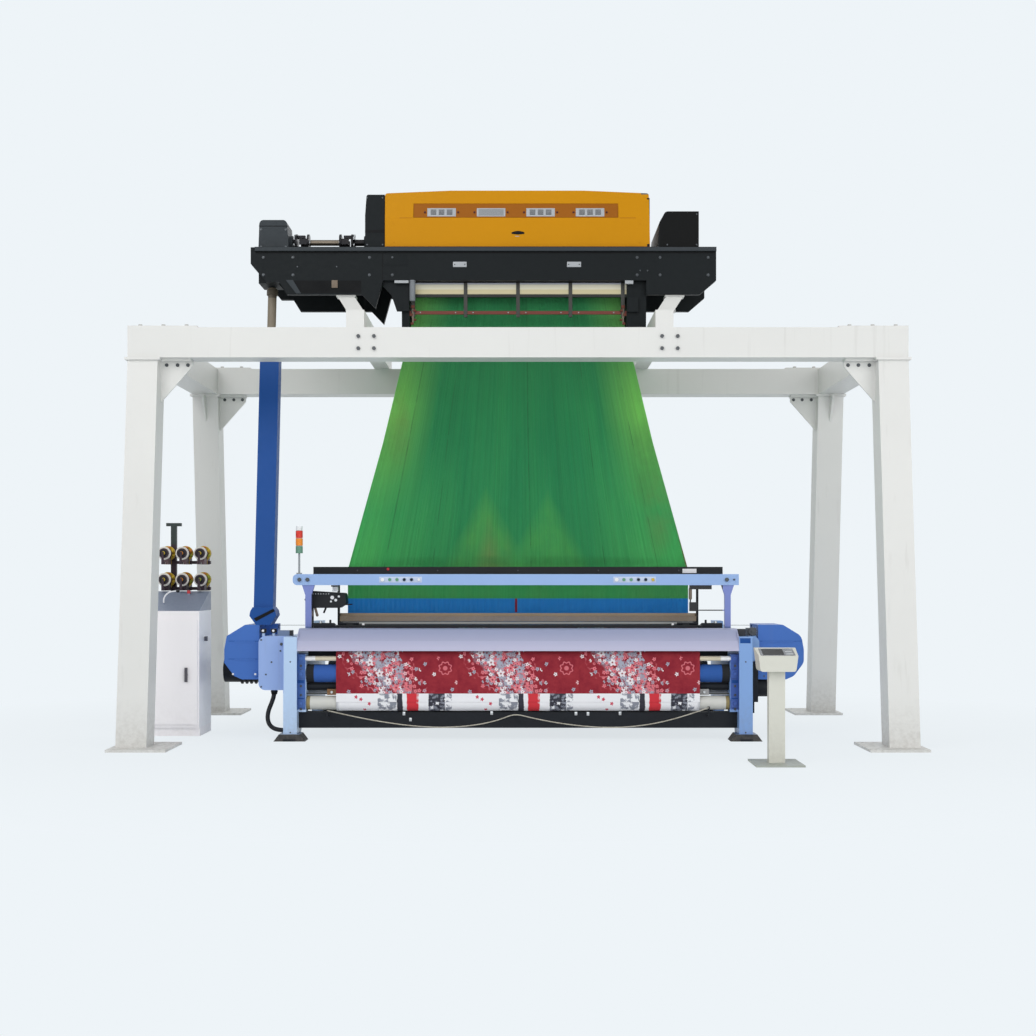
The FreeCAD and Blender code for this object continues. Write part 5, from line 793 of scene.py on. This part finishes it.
def reed():
    """Reed with fine dents in two bound bands, and the race strip before it."""
    foot = [level(None, 1.042, srgb(40, 42, 44))]
    wire = paint("reed_wire", srgb(150, 136, 116), 0.4, 0.2, 0.0, zones=foot)
    bind = paint("reed_band", srgb(146, 132, 112), 0.6, 0.25, 0.0, zones=foot)
    strip = paint("race_strip", srgb(146, 150, 150), 0.4, 0.05, 0.0)
    made = Solid("reed_dents", "sley")
    low, high, front, back, half, bound, end = 0.950, 1.116, 0.004, 0.018, 1.65, 0.030, 0.012
    made.box((-half, front, high - bound), (half, back, high), bind, 0.003)
    made.box((-half, front, low), (half, back, low + bound), bind)
    for x in (-half, half - end):
        made.box((x, front, low), (x + end, back, high), bind)
    for i in range(824):
        x = -1.645 + i * 0.004
        made.box((x, front + 0.003, low + 0.028), (x + 0.0030, back - 0.003, high - 0.028), wire)
    made.box((-1.62, front - 0.010, 1.014), (1.62, front + 0.001, 1.036), strip, 0.002)
    obj = made.done()
    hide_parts("reed")


reed()

# ---------------------------------------------------------------- cloth

CLOTH_HALF = 1.615
REPEAT = 2 * CLOTH_HALF / 3
DEEP_RED = srgb(130, 28, 44)


def repeats(where):
    """Place on the flat cloth, share across one of its three repeats, and place inside that repeat."""
    split = parts(where)
    across = maths("FRACT", times_add(split[0], 1 / REPEAT, 1.5))
    return split, across, joined(times(across, REPEAT), split[1], 0.0)


def florets(where, scale, turn, spread):
    """Five-lobed blossoms in jittered cells: mask of the bloom, share from its middle, and cell colours."""
    cells = add("TexVoronoi", {"feature": "F1", "voronoi_dimensions": "2D"}, Vector=where,
                Scale=scale, Randomness=0.8).outputs
    away = add("VectorMath", {"operation": "SUBTRACT"}, i0=where, i1=cells["Position"]).outputs[0]
    split = parts(away)
    kinds = parts(cells["Color"])
    heading = maths("ARCTAN2", split[1], split[0])
    angle = times_add(heading, 5.0, times(kinds[0], turn))
    lobe = times_add(maths("COSINE", angle), 0.11, spread)
    near = maths("DIVIDE", cells["Distance"], lobe)
    return ramp(near, 1.0, 0.92), near, kinds


def end_band(across, local):
    """Plain fields of the cloth's end band: white, mottled grey, dark and one red block in each repeat."""
    mottle = noise(local, 17.0, 5.0, 0.65)
    ragged = noise(local, 21.0, 3.0, 0.6)
    edge = times_add(ragged, 0.022, maths("SUBTRACT", across, 0.011))
    white, grey, dark, red = srgb(236, 238, 242), srgb(134, 140, 152), srgb(46, 52, 62), srgb(206, 54, 64)
    base = white
    for low, high, tone, mixed in (
            (0.34, 0.50, grey, white), (0.50, 0.55, dark, dark), (0.58, 0.68, red, red),
            (0.76, 0.90, dark, grey), (0.90, 0.955, grey, white)):
        field = times(ramp(edge, low, low + 0.004), ramp(edge, high, high - 0.004))
        base = blend(field, base, blend(ramp(mottle, 0.47, 0.53), tone, mixed))
    for scale, low, high, tone in ((26.0, 0.10, 0.30, srgb(200, 70, 92)), (22.0, 0.66, 0.92, white)):
        bloom, near, kinds = florets(local, scale, 7.0, 0.38)
        zone = times(ramp(edge, low, low + 0.02), ramp(edge, high, high - 0.02))
        shown = times(zone, maths("GREATER_THAN", kinds[0], 0.66))
        base = blend(times(bloom, shown), base, tone)
    return base


def ring_motif(split, across):
    """Mask of a petalled ring with a disc inside."""
    dx = times(maths("SUBTRACT", across, 0.90), REPEAT)
    dz = maths("SUBTRACT", split[1], 0.30)
    far = maths("SQRT", maths("ADD", times(dx, dx), times(dz, dz)))
    petal = times(maths("COSINE", times(maths("ARCTAN2", dz, dx), 8.0)), 0.006)
    off = apart(maths("ADD", far, petal), 0.052)
    return maths("MAXIMUM", ramp(off, 0.007, 0.004), ramp(far, 0.022, 0.018))


def woven(shader, where, base):
    """Fine threads over a pattern, and the cloth's own surface."""
    fuzz = noise(where, 700.0, 3.0)
    base = blend(ramp(fuzz, 0.4, 0.7, 0.0, 0.10), base, DEEP_RED)
    plug(base, shader, "Base Color")
    set_shader(shader, Roughness=0.7, Specular_IOR_Level=0.2)
    bumped(shader, fuzz, 0.25, 0.0006)


def figured_cloth():
    """Figured cloth in three repeats: slanting drifts of round blossoms and a ring motif on the ground."""
    mat, shader, where = material("figured_cloth", True)
    split, across, local = repeats(where)
    pale, grey, pink = srgb(232, 226, 230), srgb(162, 168, 184), srgb(222, 122, 132)
    drift = noise(local, 2.6, 4.0, 0.6)
    shade = noise(local, 7.0, 5.0, 0.7)
    base = blend(ramp(shade, 0.40, 0.62), srgb(150, 44, 54), DEEP_RED)
    lean = times_add(drift, 0.5, times_add(split[1], 0.62, across))
    spray = ramp(apart(lean, 0.80), 0.30, 0.04)
    haze = ramp(noise(local, 15.0, 6.0, 0.75), 0.47, 0.53)
    base = blend(times(haze, ramp(spray, 0.45, 0.8)), base, grey)
    vein = apart(noise(local, 4.6, 3.0, 0.6), 0.5)
    twig = times(ramp(vein, 0.012, 0.005), ramp(spray, 0.05, 0.3))
    base = blend(twig, base, pink)
    for scale, spread, turn, thick in ((25.0, 0.40, 9.0, 0.58), (12.0, 0.36, 5.0, 0.84)):
        bloom, near, kinds = florets(local, scale, turn, spread)
        dense = times_add(spray, 0.75, times(kinds[0], 0.6))
        tone = blend(ramp(kinds[1], 0.40, 0.46), pale, pink)
        tone = blend(ramp(kinds[2], 0.62, 0.66), tone, grey)
        tone = blend(ramp(near, 0.30, 0.22), tone, DEEP_RED)
        base = blend(times(bloom, maths("GREATER_THAN", dense, thick)), base, tone)
    base = blend(times(ring_motif(split, across), 0.8), base, pink)
    base = blend(ramp(split[1], 0.0760, 0.0745), base, end_band(across, local))
    woven(shader, where, base)
    return mat


def rolled_cloth():
    """The cloth's end band, as the turns of the roll show it."""
    mat, shader, where = material("rolled_cloth", True)
    across, local = repeats(where)[1:]
    woven(shader, where, end_band(across, local))
    return mat


# Line of the cloth in Y and Z, from the temples over the breast cover down to the roll.
CLOTH_LINE = [
    (-0.081, 0.995), (-0.160, 0.995), (-0.230, 0.995), (-0.290, 0.9945), (-0.312, 0.990), (-0.326, 0.978),
    (-0.334, 0.958), (-0.343, 0.935), (-0.362, 0.915), (-0.420, 0.876), (-0.480, 0.8365), (-0.520, 0.810),
    (-0.540, 0.790), (-0.549, 0.765), (-0.550, 0.720), (-0.550, 0.640), (-0.550, 0.560), (-0.550, 0.480),
    (-0.550, 0.400), (-0.550, 0.340)]


def web():
    """Cloth along its line in Y and Z, with its pattern laid out flat in the mesh's own map."""
    mesh = bmesh.new()
    laid = mesh.loops.layers.uv.new("flat")
    across = 48
    places = [-CLOTH_HALF + 2 * CLOTH_HALF * i / across for i in range(across + 1)]
    run = [0.0]
    for a, b in zip(CLOTH_LINE, CLOTH_LINE[1:]):
        run.append(run[-1] + math.dist(a, b))
    length = run[-1]
    grid = [[mesh.verts.new((x, y, z)) for x in places] for y, z in CLOTH_LINE]
    for k in range(len(CLOTH_LINE) - 1):
        for i in range(across):
            corners = ((i, k), (i + 1, k), (i + 1, k + 1), (i, k + 1))
            face = mesh.faces.new([grid[m][j] for j, m in corners])
            face.smooth = True
            for loop, (j, m) in zip(face.loops, corners):
                loop[laid].uv = (places[j], length - run[m])
    obj = placed("cloth_web_figured", mesh, [figured_cloth()])
    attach(obj, "machine")
    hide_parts("cloth_web")


web()


def roll():
    """Roll of woven cloth: hard wound, a little uneven, with the turns showing at its ends."""
    mesh = bmesh.new()
    laid = mesh.loops.layers.uv.new("flat")
    across, around, radius, centre_y, centre_z = 96, 40, 0.0722, -0.474, 0.328
    turns = [2 * math.pi * k / around for k in range(around)]
    places = [-CLOTH_HALF + 2 * CLOTH_HALF * i / across for i in range(across + 1)]
    rings = []
    for x in places:
        wound = radius + 0.0006 * math.sin(x * 9.1) + 0.0005 * math.sin(x * 23.0 + 1.0)
        rings.append([mesh.verts.new((x, centre_y + wound * math.cos(t), centre_z + wound * math.sin(t)))
                      for t in turns])
    for i in range(across):
        for k in range(around):
            corners = ((i, k), (i + 1, k), (i + 1, k + 1), (i, k + 1))
            face = mesh.faces.new([rings[j][m % around] for j, m in corners])
            face.smooth = True
            for loop, (j, m) in zip(face.loops, corners):
                loop[laid].uv = (places[j], 0.16 + 2 * math.pi * radius * m / around)
    for ring, side in ((rings[0], -1), (rings[-1], 1)):
        last = ring
        for share, sunk in ((0.95, 0.004), (0.90, 0.0)):
            loop = [mesh.verts.new((vert.co.x - side * sunk, centre_y + (vert.co.y - centre_y) * share,
                                    centre_z + (vert.co.z - centre_z) * share)) for vert in ring]
            skin(mesh, last, loop)
            last = loop
        mesh.faces.new(last)
    bmesh.ops.recalc_face_normals(mesh, faces=mesh.faces[:])
    obj = placed("rolled_cloth", mesh, [rolled_cloth()])
    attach(obj, "cloth_beam")
    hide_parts("cloth_roll")


roll()

# ---------------------------------------------------------------- fittings

# Dark material for real seams, slits and slots, and for painted shadow lines.
SEAM_AND_SHADOW = plastic("seam_shadow", srgb(12, 13, 15), 0.8)
PLATE = paint("plate_grey", srgb(168, 172, 176), 0.4, 0.05, 0.0)
RUST = paint("red_brown", srgb(96, 44, 30), 0.6, 0.2, 0.0)
LABEL = plastic("label_white", srgb(232, 232, 234), 0.5)
PALE_BLUE = plastic("label_blue", srgb(196, 208, 230), 0.5)
PIPE = paint("pipe_grey", srgb(120, 125, 130), 0.4, 0.1, 0.0)
GREEN = plastic("button_green", srgb(104, 156, 116), 0.4)
YELLOW = plastic("disc_yellow", srgb(206, 176, 58), 0.4)
ORANGE = plastic("disc_orange", srgb(204, 128, 52), 0.4)
LIME = plastic("disc_lime", srgb(158, 168, 62), 0.4)
RED = plastic("dot_red", srgb(196, 54, 60), 0.4)
BROWN = paint("fitting_brown", srgb(116, 102, 88), 0.5, 0.2, 0.0)
OCHRE = paint("recess_ochre", srgb(152, 90, 22), 0.45, 0.08, 0.0, 0.0, 0.12)
SLATE = paint("terminal_glass", srgb(86, 90, 98), 0.25, 0.1, 0.0)


def head_rail(made):
    """Seams, a painted shadow under the lip, plates, brace, bolts and pipe of the front rail."""
    face, rows = -0.150, (4.215, 4.375)
    back = face + 0.002
    # Painted shadow under the lip: a dark strip along the rail's face.
    made.box((-2.40, face - 0.0015, 4.413), (1.80, back, 4.424), SEAM_AND_SHADOW)
    made.box((-2.405, -0.1715, 4.431), (1.812, -0.169, 4.465), GEAR)
    made.box((-1.242, face - 0.001, 4.17), (-1.236, back, 4.413), SEAM_AND_SHADOW)
    made.box((-1.232, face - 0.002, 4.300), (-1.010, back, 4.400), IRON, 0.001)
    for low, high in ((-0.595, -0.470), (0.448, 0.577)):
        made.box((low, face - 0.006, 4.286), (high, back, 4.335), PLATE, 0.004)
        for x in (low + 0.016, high - 0.016):
            made.stud(x, 4.310, face - 0.005, face - 0.009, 0.006, BOLT)
    made.plate([(-2.100, 4.163), (-1.435, 4.163), (-1.435, 4.048), (-2.000, 4.048)], face - 0.001, back, SEAM_AND_SHADOW)
    made.plate([(-2.125, 4.168), (-2.060, 4.168), (-1.985, 4.044), (-2.030, 4.044)],
               face - 0.006, face + 0.001, GEAR)
    made.box((-1.705, face - 0.012, 4.095), (-1.650, face + 0.001, 4.165), BROWN, 0.003)
    made.box((-1.130, face - 0.004, 4.140), (-1.002, face + 0.006, 4.164), PLATE, 0.001)
    made.box((0.980, back, 4.135), (1.055, face + 0.040, 4.166), PLATE, 0.001)
    made.lathe((-0.968, -0.124, 3.98), (-0.968, -0.124, 4.168),
               [(0, 0.022), (0.05, 0.027), (0.94, 0.027), (0.95, 0.033), (1, 0.033)], PIPE, 18)
    for x in (-2.33, -2.06, -1.36, -1.15, 1.09, 1.30, 1.74):
        for z in rows:
            made.bolt((x, face + 0.001, z), FORWARD, 0.011, BOLT)
    for x, z in ((1.118, 4.255), (1.186, 4.255), (-2.02, 4.29), (-1.66, 4.29)):
        made.stud(x, z, face + 0.001, face - 0.004, 0.007, BOLT)
    for x in (-2.2, -1.6, -1.0, -0.4, 0.2, 0.8, 1.4):
        for z in rows:
            made.bolt((x, 0.749, z), REARWARD, 0.011, BOLT)


def guide_ends(made):
    """Rusty clamps at both ends of the cord guide, and pale heads along it."""
    for side in (-1, 1):
        for x, z, size in ((0.968, 3.940, 0.016), (0.952, 3.905, 0.012), (0.985, 3.868, 0.014),
                           (0.948, 3.820, 0.010), (0.975, 3.785, 0.012)):
            made.box((side * x - size, -0.074, z - size), (side * x + size, -0.055, z + size * 0.8),
                     RUST, 0.003)
        made.box((side * 0.968 - 0.008, -0.064, 3.775), (side * 0.968 + 0.008, -0.050, 3.95), BROWN, 0.002)
    for i in range(12):
        if i % 3 != 1:
            made.stud(-0.90 + i * 0.162, 3.887, -0.054, -0.062, 0.006, PLATE)


def head_fittings():
    """Lines, plates, brace, screws and pipe on the head's front rail and boxes."""
    made = Solid("head_fittings")
    head_rail(made)
    guide_ends(made)
    made.box((-1.4045, -0.1115, 4.612), (-1.2235, -0.107, 4.637), SEAM_AND_SHADOW)
    for x, z in ((-1.385, 4.93), (-1.243, 4.93), (-1.385, 4.50), (-1.243, 4.50), (1.64, 4.78), (1.64, 4.50),
                 (1.37, 4.50)):
        made.stud(x, z, -0.109, -0.116, 0.008, BOLT)
    made.box((1.300, -0.1115, 4.476), (1.645, -0.108, 4.480), SEAM_AND_SHADOW)
    made.box((-2.395, -0.0215, 4.690), (-2.125, -0.018, 4.696), SEAM_AND_SHADOW)
    for x in (-2.375, -2.145):
        for z in (4.50, 4.66):
            made.bolt((x, -0.019, z), FORWARD, 0.010, BOLT)
    made.lathe((-2.26, 0.13, 4.749), (-2.26, 0.13, 4.772),
               [(0, 0.022), (0.4, 0.022), (0.45, 0.014), (1, 0.012)], BOLT, 14)
    made.done()


def vent_plate(made, x, floor, slotted):
    """Vent plate with three louvred groups, or with long slots, and a screw at each end."""
    front, back = floor - 0.0036, floor - 0.0028
    made.box((x - 0.131, floor - 0.003, 4.757), (x + 0.131, floor, 4.835), PLATE, 0.0015)
    if slotted:
        slots = [(x, 0.115, 4.767 + row * 0.0068, 0.0018) for row in range(9)]
    else:
        slots = [(x + group * 0.074, 0.026, 4.773 + row * 0.0105, 0.0055) for group in (-1, 0, 1)
                 for row in range(5)]
    for middle, half, low, tall in slots:
        made.box((middle - half, front, low), (middle + half, back, low + tall), SEAM_AND_SHADOW)
    for end in (x - 0.152, x + 0.152):
        made.stud(end, 4.796, floor, floor - 0.005, 0.011, RUST, 12)
        made.stud(end, 4.796, floor - 0.004, floor - 0.0062, 0.005, SEAM_AND_SHADOW, 8, 0)


def hood_fittings():
    """Vent plates, handle, crease and edge trim of the yellow hood, on its leaning front."""
    made = Solid("hood_fittings", "head_hood")
    face, floor, fold, lean = -0.125, -0.120, 4.745, 0.102
    made.box((-0.957, floor - 0.0006, 4.748), (0.917, floor + 0.001, 4.877), OCHRE)
    for i in range(4):
        vent_plate(made, -0.020 + 0.940 * (i - 1.5) / 2.07, floor, i == 1)
    half = 0.058
    arch = [(-half + 2 * half * k / 12, 4.611 + 0.012 * math.sin(math.pi * k / 12)) for k in range(13)]
    under = [(x, 4.590 + 0.006 * abs(x) / half) for x, z in reversed(arch)]
    made.plate(arch + under, face - 0.002, face + 0.002, SEAM_AND_SHADOW)
    made.box((-0.026, face - 0.0012, 4.572), (0.012, face + 0.001, 4.577), PLATE)
    for low, high in ((-1.085, -0.970), (0.930, 1.080)):
        made.box((low, face - 0.0006, 4.741), (high, face + 0.001, 4.7445), OCHRE)
    made.box((1.184, face - 0.0012, 4.475), (1.2085, face + 0.002, 4.930), SEAM_AND_SHADOW)
    made.box((-1.217, face - 0.0012, 4.470), (1.208, face + 0.002, 4.481), RUST)
    for x in (-1.14, 1.12):
        for z in (4.52, 4.69):
            made.stud(x, z, face, face - 0.003, 0.007, HOOD, 12)
    for vert in made.mesh.verts:
        vert.co.y += max(0.0, vert.co.z - fold) * lean
    made.done()


def cardan_bolts():
    """Bright caps on the flange bolts, and grease rims of the cross bearings."""
    made = Solid("cardan_bolts", "top_shaft")
    axis_y, axis_z, circle = 0.130, 4.572, 0.078 * 0.76
    for face, toward in ((-2.074, -1), (-1.536, 1)):
        for i in range(6):
            turn = math.radians(60 * i + 30)
            y, z = axis_y + circle * math.cos(turn), axis_z + circle * math.sin(turn)
            made.lathe((face + toward * 0.003, y, z), (face + toward * 0.0175, y, z),
                       [(0, 0.0182), (0.85, 0.0182), (1, 0.016)], STEEL, 6)
    for x in (-1.945, -1.665):
        made.lathe((x - 0.006, axis_y, axis_z), (x + 0.006, axis_y, axis_z),
                   [(0, 0.030), (0.5, 0.0315), (1, 0.030)], STEEL, 24)
    made.done()


def gantry_fittings():
    """Bolts of the haunches and a slit in the hanging plate."""
    made = Solid("gantry_fittings")
    for side in (-1, 1):
        for x in (3.06, 2.965, 2.875):
            for y, z in ((-0.7895, 3.295), (1.7105, 3.300)):
                made.bolt((side * x, y, z), FORWARD, 0.013, BOLT)
    made.box((-1.4065, -0.1155, 3.72), (-1.4030, -0.112, 4.02), SEAM_AND_SHADOW)
    made.done()


def rail_fittings():
    """Buttons, labels and end bolts of the front rail; sleeve and clips of the stop motion."""
    made = Solid("rail_fittings")
    face, height = -0.260, 1.426
    for station, last in ((-1.065, LABEL), (1.060, YELLOW)):
        made.box((station - 0.194, face - 0.0012, height - 0.026),
                 (station + 0.192, face + 0.002, height + 0.026), PALE_BLUE, 0.0005)
        for i, tone in enumerate((LABEL, GREEN, GREEN, BLACK, BLACK, last)):
            x = station + (i - 2.5) * 0.066
            wide = 0.0222 if i == 0 else 0.0166
            cap = wide * 0.82
            made.lathe((x, face - 0.001, height), (x, face - 0.0118, height),
                       [(0, wide), (0.55, wide), (0.6, cap), (0.95, cap), (1, wide * 0.70)], tone, 18)
    for x, wide in ((-1.983, 0.0180), (-1.910, 0.0180), (1.895, 0.0180), (1.960, 0.009)):
        made.stud(x, height, face + 0.001, face - 0.0168, wide, BOLT, 18, 0.002)
    made.lathe((1.568, -0.230, 1.245), (1.568, -0.230, 1.352),
               [(0, 0.011), (0.1, 0.015), (0.9, 0.015), (1, 0.011)], BROWN, 14)
    made.box((1.590, -0.224, 1.146), (1.622, -0.210, 1.214), STEEL, 0.003)
    made.stud(-1.213, 1.524, 0.112, 0.104, 0.013, RED, 14, 0.002)
    made.box((1.535, 0.1075, 1.487), (1.665, 0.112, 1.527), LABEL, 0.001)
    for x in (-1.5, -0.75, 0.0, 0.75, 1.5):
        made.stud(x, 1.511, 0.111, 0.105, 0.006, BOLT)
    made.done()


def temple_bar():
    """Dark bar over the cloth behind the breast cover, temple rollers at its ends, clips of the low beam."""
    made = Solid("temple_bar")
    made.box((-1.66, -0.336, 0.9925), (1.66, -0.313, 1.0150), BLACK, 0.002)
    rings = [(0, 0.010)]
    for k in range(11):
        rings += [((k + 0.15) / 11, 0.0135), ((k + 0.75) / 11, 0.0135), ((k + 0.85) / 11, 0.0105)]
    rings.append((1, 0.010))
    for side in (-1, 1):
        for x, half, low, high, mat, bevel in (
                (1.648, 0.016, (-0.362, 0.974), (-0.262, 1.015), DARK, 0.003),
                (1.755, 0.095, (-0.300, 0.984), (-0.270, 1.034), DARK, 0.006),
                (1.40, 0.010, (-0.308, 1.001), (-0.276, 1.030), LABEL, 0.002),
                (1.52, 0.03, (-0.309, 1.010), (-0.297, 1.032), BLACK, 0.002)):
            made.box((side * x - half, *low), (side * x + half, *high), mat, bevel)
        made.rod((side * 1.700, -0.285, 1.030), (side * 1.700, -0.285, 1.062), 0.010, BLACK, 12, 0.002)
        made.rod((side * 1.790, -0.285, 1.030), (side * 1.790, -0.285, 1.050), 0.014, STEEL, 12, 0.002)
        made.lathe((side * 1.44, -0.291, 1.0270), (side * 1.62, -0.291, 1.0270), rings, DARK, 14)
    for x, z in ((-1.017, 0.238), (-0.959, 0.185), (-0.235, 0.243), (0.517, 0.238), (0.624, 0.236),
                 (0.910, 0.240)):
        made.box((x - 0.012, -0.496, z - 0.022), (x + 0.012, -0.486, z + 0.010), STEEL, 0.003)
        made.stud(x, z - 0.006, -0.494, -0.502, 0.006, STEEL)
    made.done()


def selector_fittings():
    """Pale eyes, clamp block and feeler guides of the weft selector."""
    made = Solid("selector_fittings")
    face = -0.150
    made.box((-1.700, -0.142, 1.318), (-1.650, -0.085, 1.362), LABEL, 0.004)
    made.box((-1.712, -0.146, 1.3615), (-1.640, -0.080, 1.374), BLACK, 0.003)
    for x, z, wide, mat in ((-1.700, 1.262, 0.017, LABEL), (-1.668, 1.238, 0.013, STEEL),
                            (-1.712, 1.226, 0.009, STEEL), (-1.640, 1.272, 0.010, STEEL)):
        made.lathe((x, face + 0.006, z), (x, face - 0.007, z),
                   [(0, wide), (0.8, wide), (0.82, wide * 0.55), (1, wide * 0.5)], mat, 16)
    for k in range(8):
        made.stud(-1.900 + k * 0.024, 1.295, face + 0.002, face - 0.003, 0.004, STEEL, 8, 0)
    for x in (-1.905, -1.860):
        made.rod((x, -0.128, 1.170), (x + 0.02, -0.140, 1.105), 0.012, BROWN, 12, 0.002)
        made.ball((x + 0.021, -0.1405, 1.101), 0.014, BROWN)
    made.rod((-1.760, -0.128, 1.170), (-1.780, -0.136, 1.120), 0.009, BLACK, 10, 0.001)
    made.done()


def cover_fittings(made):
    """Screws, a boss, painted shadow lines along the ribs and a dark slit of the two wheel covers."""
    face = -0.399
    made.stud(-2.559, 0.578, face, -0.404, 0.009, LABEL, 12)
    made.stud(-2.357, 0.578, face, -0.411, 0.026, COVER, 20, 0.003)
    made.stud(-2.357, 0.578, -0.410, -0.415, 0.010, LABEL, 12)
    for x, z in ((2.21, 0.56), (2.50, 0.62)):
        made.stud(x, z, face, -0.404, 0.008, BOLT, 12)
    # Thin dark blue strips along the ribs of the covers: painted shadow.
    for low, high, z in ((-2.600, -2.325, 0.8735), (-2.600, -2.325, 0.7135), (2.170, 2.555, 0.874)):
        made.box((low, face - 0.002, z - 0.002), (high, face, z + 0.002), DEEP)
    made.plate([(-2.372, 1.078), (-2.196, 1.165), (-2.184, 1.142), (-2.352, 1.052)], -0.4035, -0.398, SEAM_AND_SHADOW)


def housing_fittings(made):
    """Screws and labels of the left housing, and the gland that holds its hose."""
    face = -0.479
    for x, z in ((-2.292, 0.470), (-2.085, 0.505), (-2.292, 0.888), (-2.085, 0.888), (-2.20, 0.690),
                 (-2.12, 0.790), (-2.25, 0.58)):
        made.stud(x, z, face, face - 0.006, 0.008, BOLT)
    made.stud(-2.112, 0.850, face, face - 0.009, 0.013, BOLT, 12, 0.002)
    for x in (-2.282, -2.190):
        made.stud(x, 0.969, -0.4455, -0.4495, 0.011, LABEL, 14)
    x, y = -2.190, -0.390
    made.rod((x, y, 0.4415), (x, y, 0.396), 0.027, SEAM_AND_SHADOW, 20, 0.003)
    made.lathe((x, y, 0.430), (x, y, 0.414), [(0, 0.034), (1, 0.034)], DARK, 6)


def side_fittings():
    """Screws, bosses and bolts of the wheel covers, housings, pillars and roll arms."""
    made = Solid("side_fittings")
    cover_fittings(made)
    housing_fittings(made)
    # Dark blue patch at the top of the right pillar: painted shade of its square recess.
    made.box((1.962, -0.6112, 0.864), (2.055, -0.608, 0.909), DEEP, 0.001)
    for side in (-1, 1):
        for z in (0.075, 0.70):
            made.stud(side * 2.012, z, -0.609, -0.613, 0.007, BOLT)
        made.stud(side * 1.658, 0.425, -0.509, -0.526, 0.012, STEEL, 16, 0.002)
        made.box((side * 2.015 - 0.055, -0.655, 0.0), (side * 2.015 + 0.055, -0.60, 0.020), DARK, 0.002)
        for y in (-0.2, 0.25, 0.7, 1.15):
            made.bolt((side * 2.0595, y, 0.80), (side, 0, 0), 0.014, BOLT)
        for z in (0.62, 0.48, 0.66, 0.40, 0.275):
            made.bolt((side * 1.93, -0.5295, z), FORWARD, 0.009, BOLT)
        for z in (0.52, 0.36):
            made.box((side * 1.928 - 0.028, -0.5325, z - 0.014), (side * 1.928 + 0.028, -0.529, z + 0.014),
                     DEEP, 0.001)
    made.rod((-1.8865, -0.440, 0.472), (1.8865, -0.440, 0.472), 0.036, DARK, 24, 0.003)
    # Dark sheet under the breast cover: painted shade of the cover's underside, seen at the ends beside the
    # cloth.
    made.box((-1.887, -0.372, 0.728), (1.887, -0.358, 0.800), DARK, 0.002)
    made.done()


def display(made):
    """Glass, picture and two keys on the terminal's sloping face."""
    slope = Vector((0.0, 0.171, 0.058)).normalized()
    rise = Vector((0.0, -slope.z, slope.y))
    foot, sunk = Vector((0.0, -2.296, 0.8395)), -0.004
    for low, high, left, right, lift, mat in (
            (0.014, 0.160, 1.866, 2.134, 0.0018, SLATE), (0.026, 0.148, 1.886, 2.050, 0.0026, DARK),
            (0.030, 0.060, 2.066, 2.118, 0.0030, PLATE), (0.076, 0.106, 2.066, 2.118, 0.0030, PLATE)):
        corners = [foot + slope * along + rise * up
                   for along, up in ((low, sunk), (high, sunk), (high, lift), (low, lift))]
        made.plate([(spot.y, spot.z) for spot in corners], left, right, mat, "X")


def feeder_fittings():
    """Rings, discs and thread eyes of the weft feeders, and the terminal's display."""
    made = Solid("feeder_fittings")
    reach = 0.058
    for height, last in ((1.674, YELLOW), (1.426, LIME)):
        for x, tone, low_tone in ((-3.330, YELLOW, YELLOW), (-3.160, ORANGE, LIME), (-2.990, last, LIME)):
            made.lathe((x, 0.1995, height), (x, 0.190, height),
                       [(0, 0.034), (0.6, 0.034), (1, 0.022)], BLACK, 22)
            made.lathe((x, 0.191, height), (x, 0.184, height), [(0, 0.018), (1, 0.012)], tone, 16)
            for turn, mat, size in ((25, tone, 0.019), (75, ORANGE, 0.014), (-20, low_tone, 0.015)):
                angle = math.radians(turn)
                made.ball((x + reach * math.cos(angle), 0.352, height + reach * math.sin(angle)), size, mat)
    display(made)
    made.done()


for fit in (head_fittings, hood_fittings, cardan_bolts, gantry_fittings, rail_fittings, temple_bar,
            selector_fittings, side_fittings, feeder_fittings):
    fit()
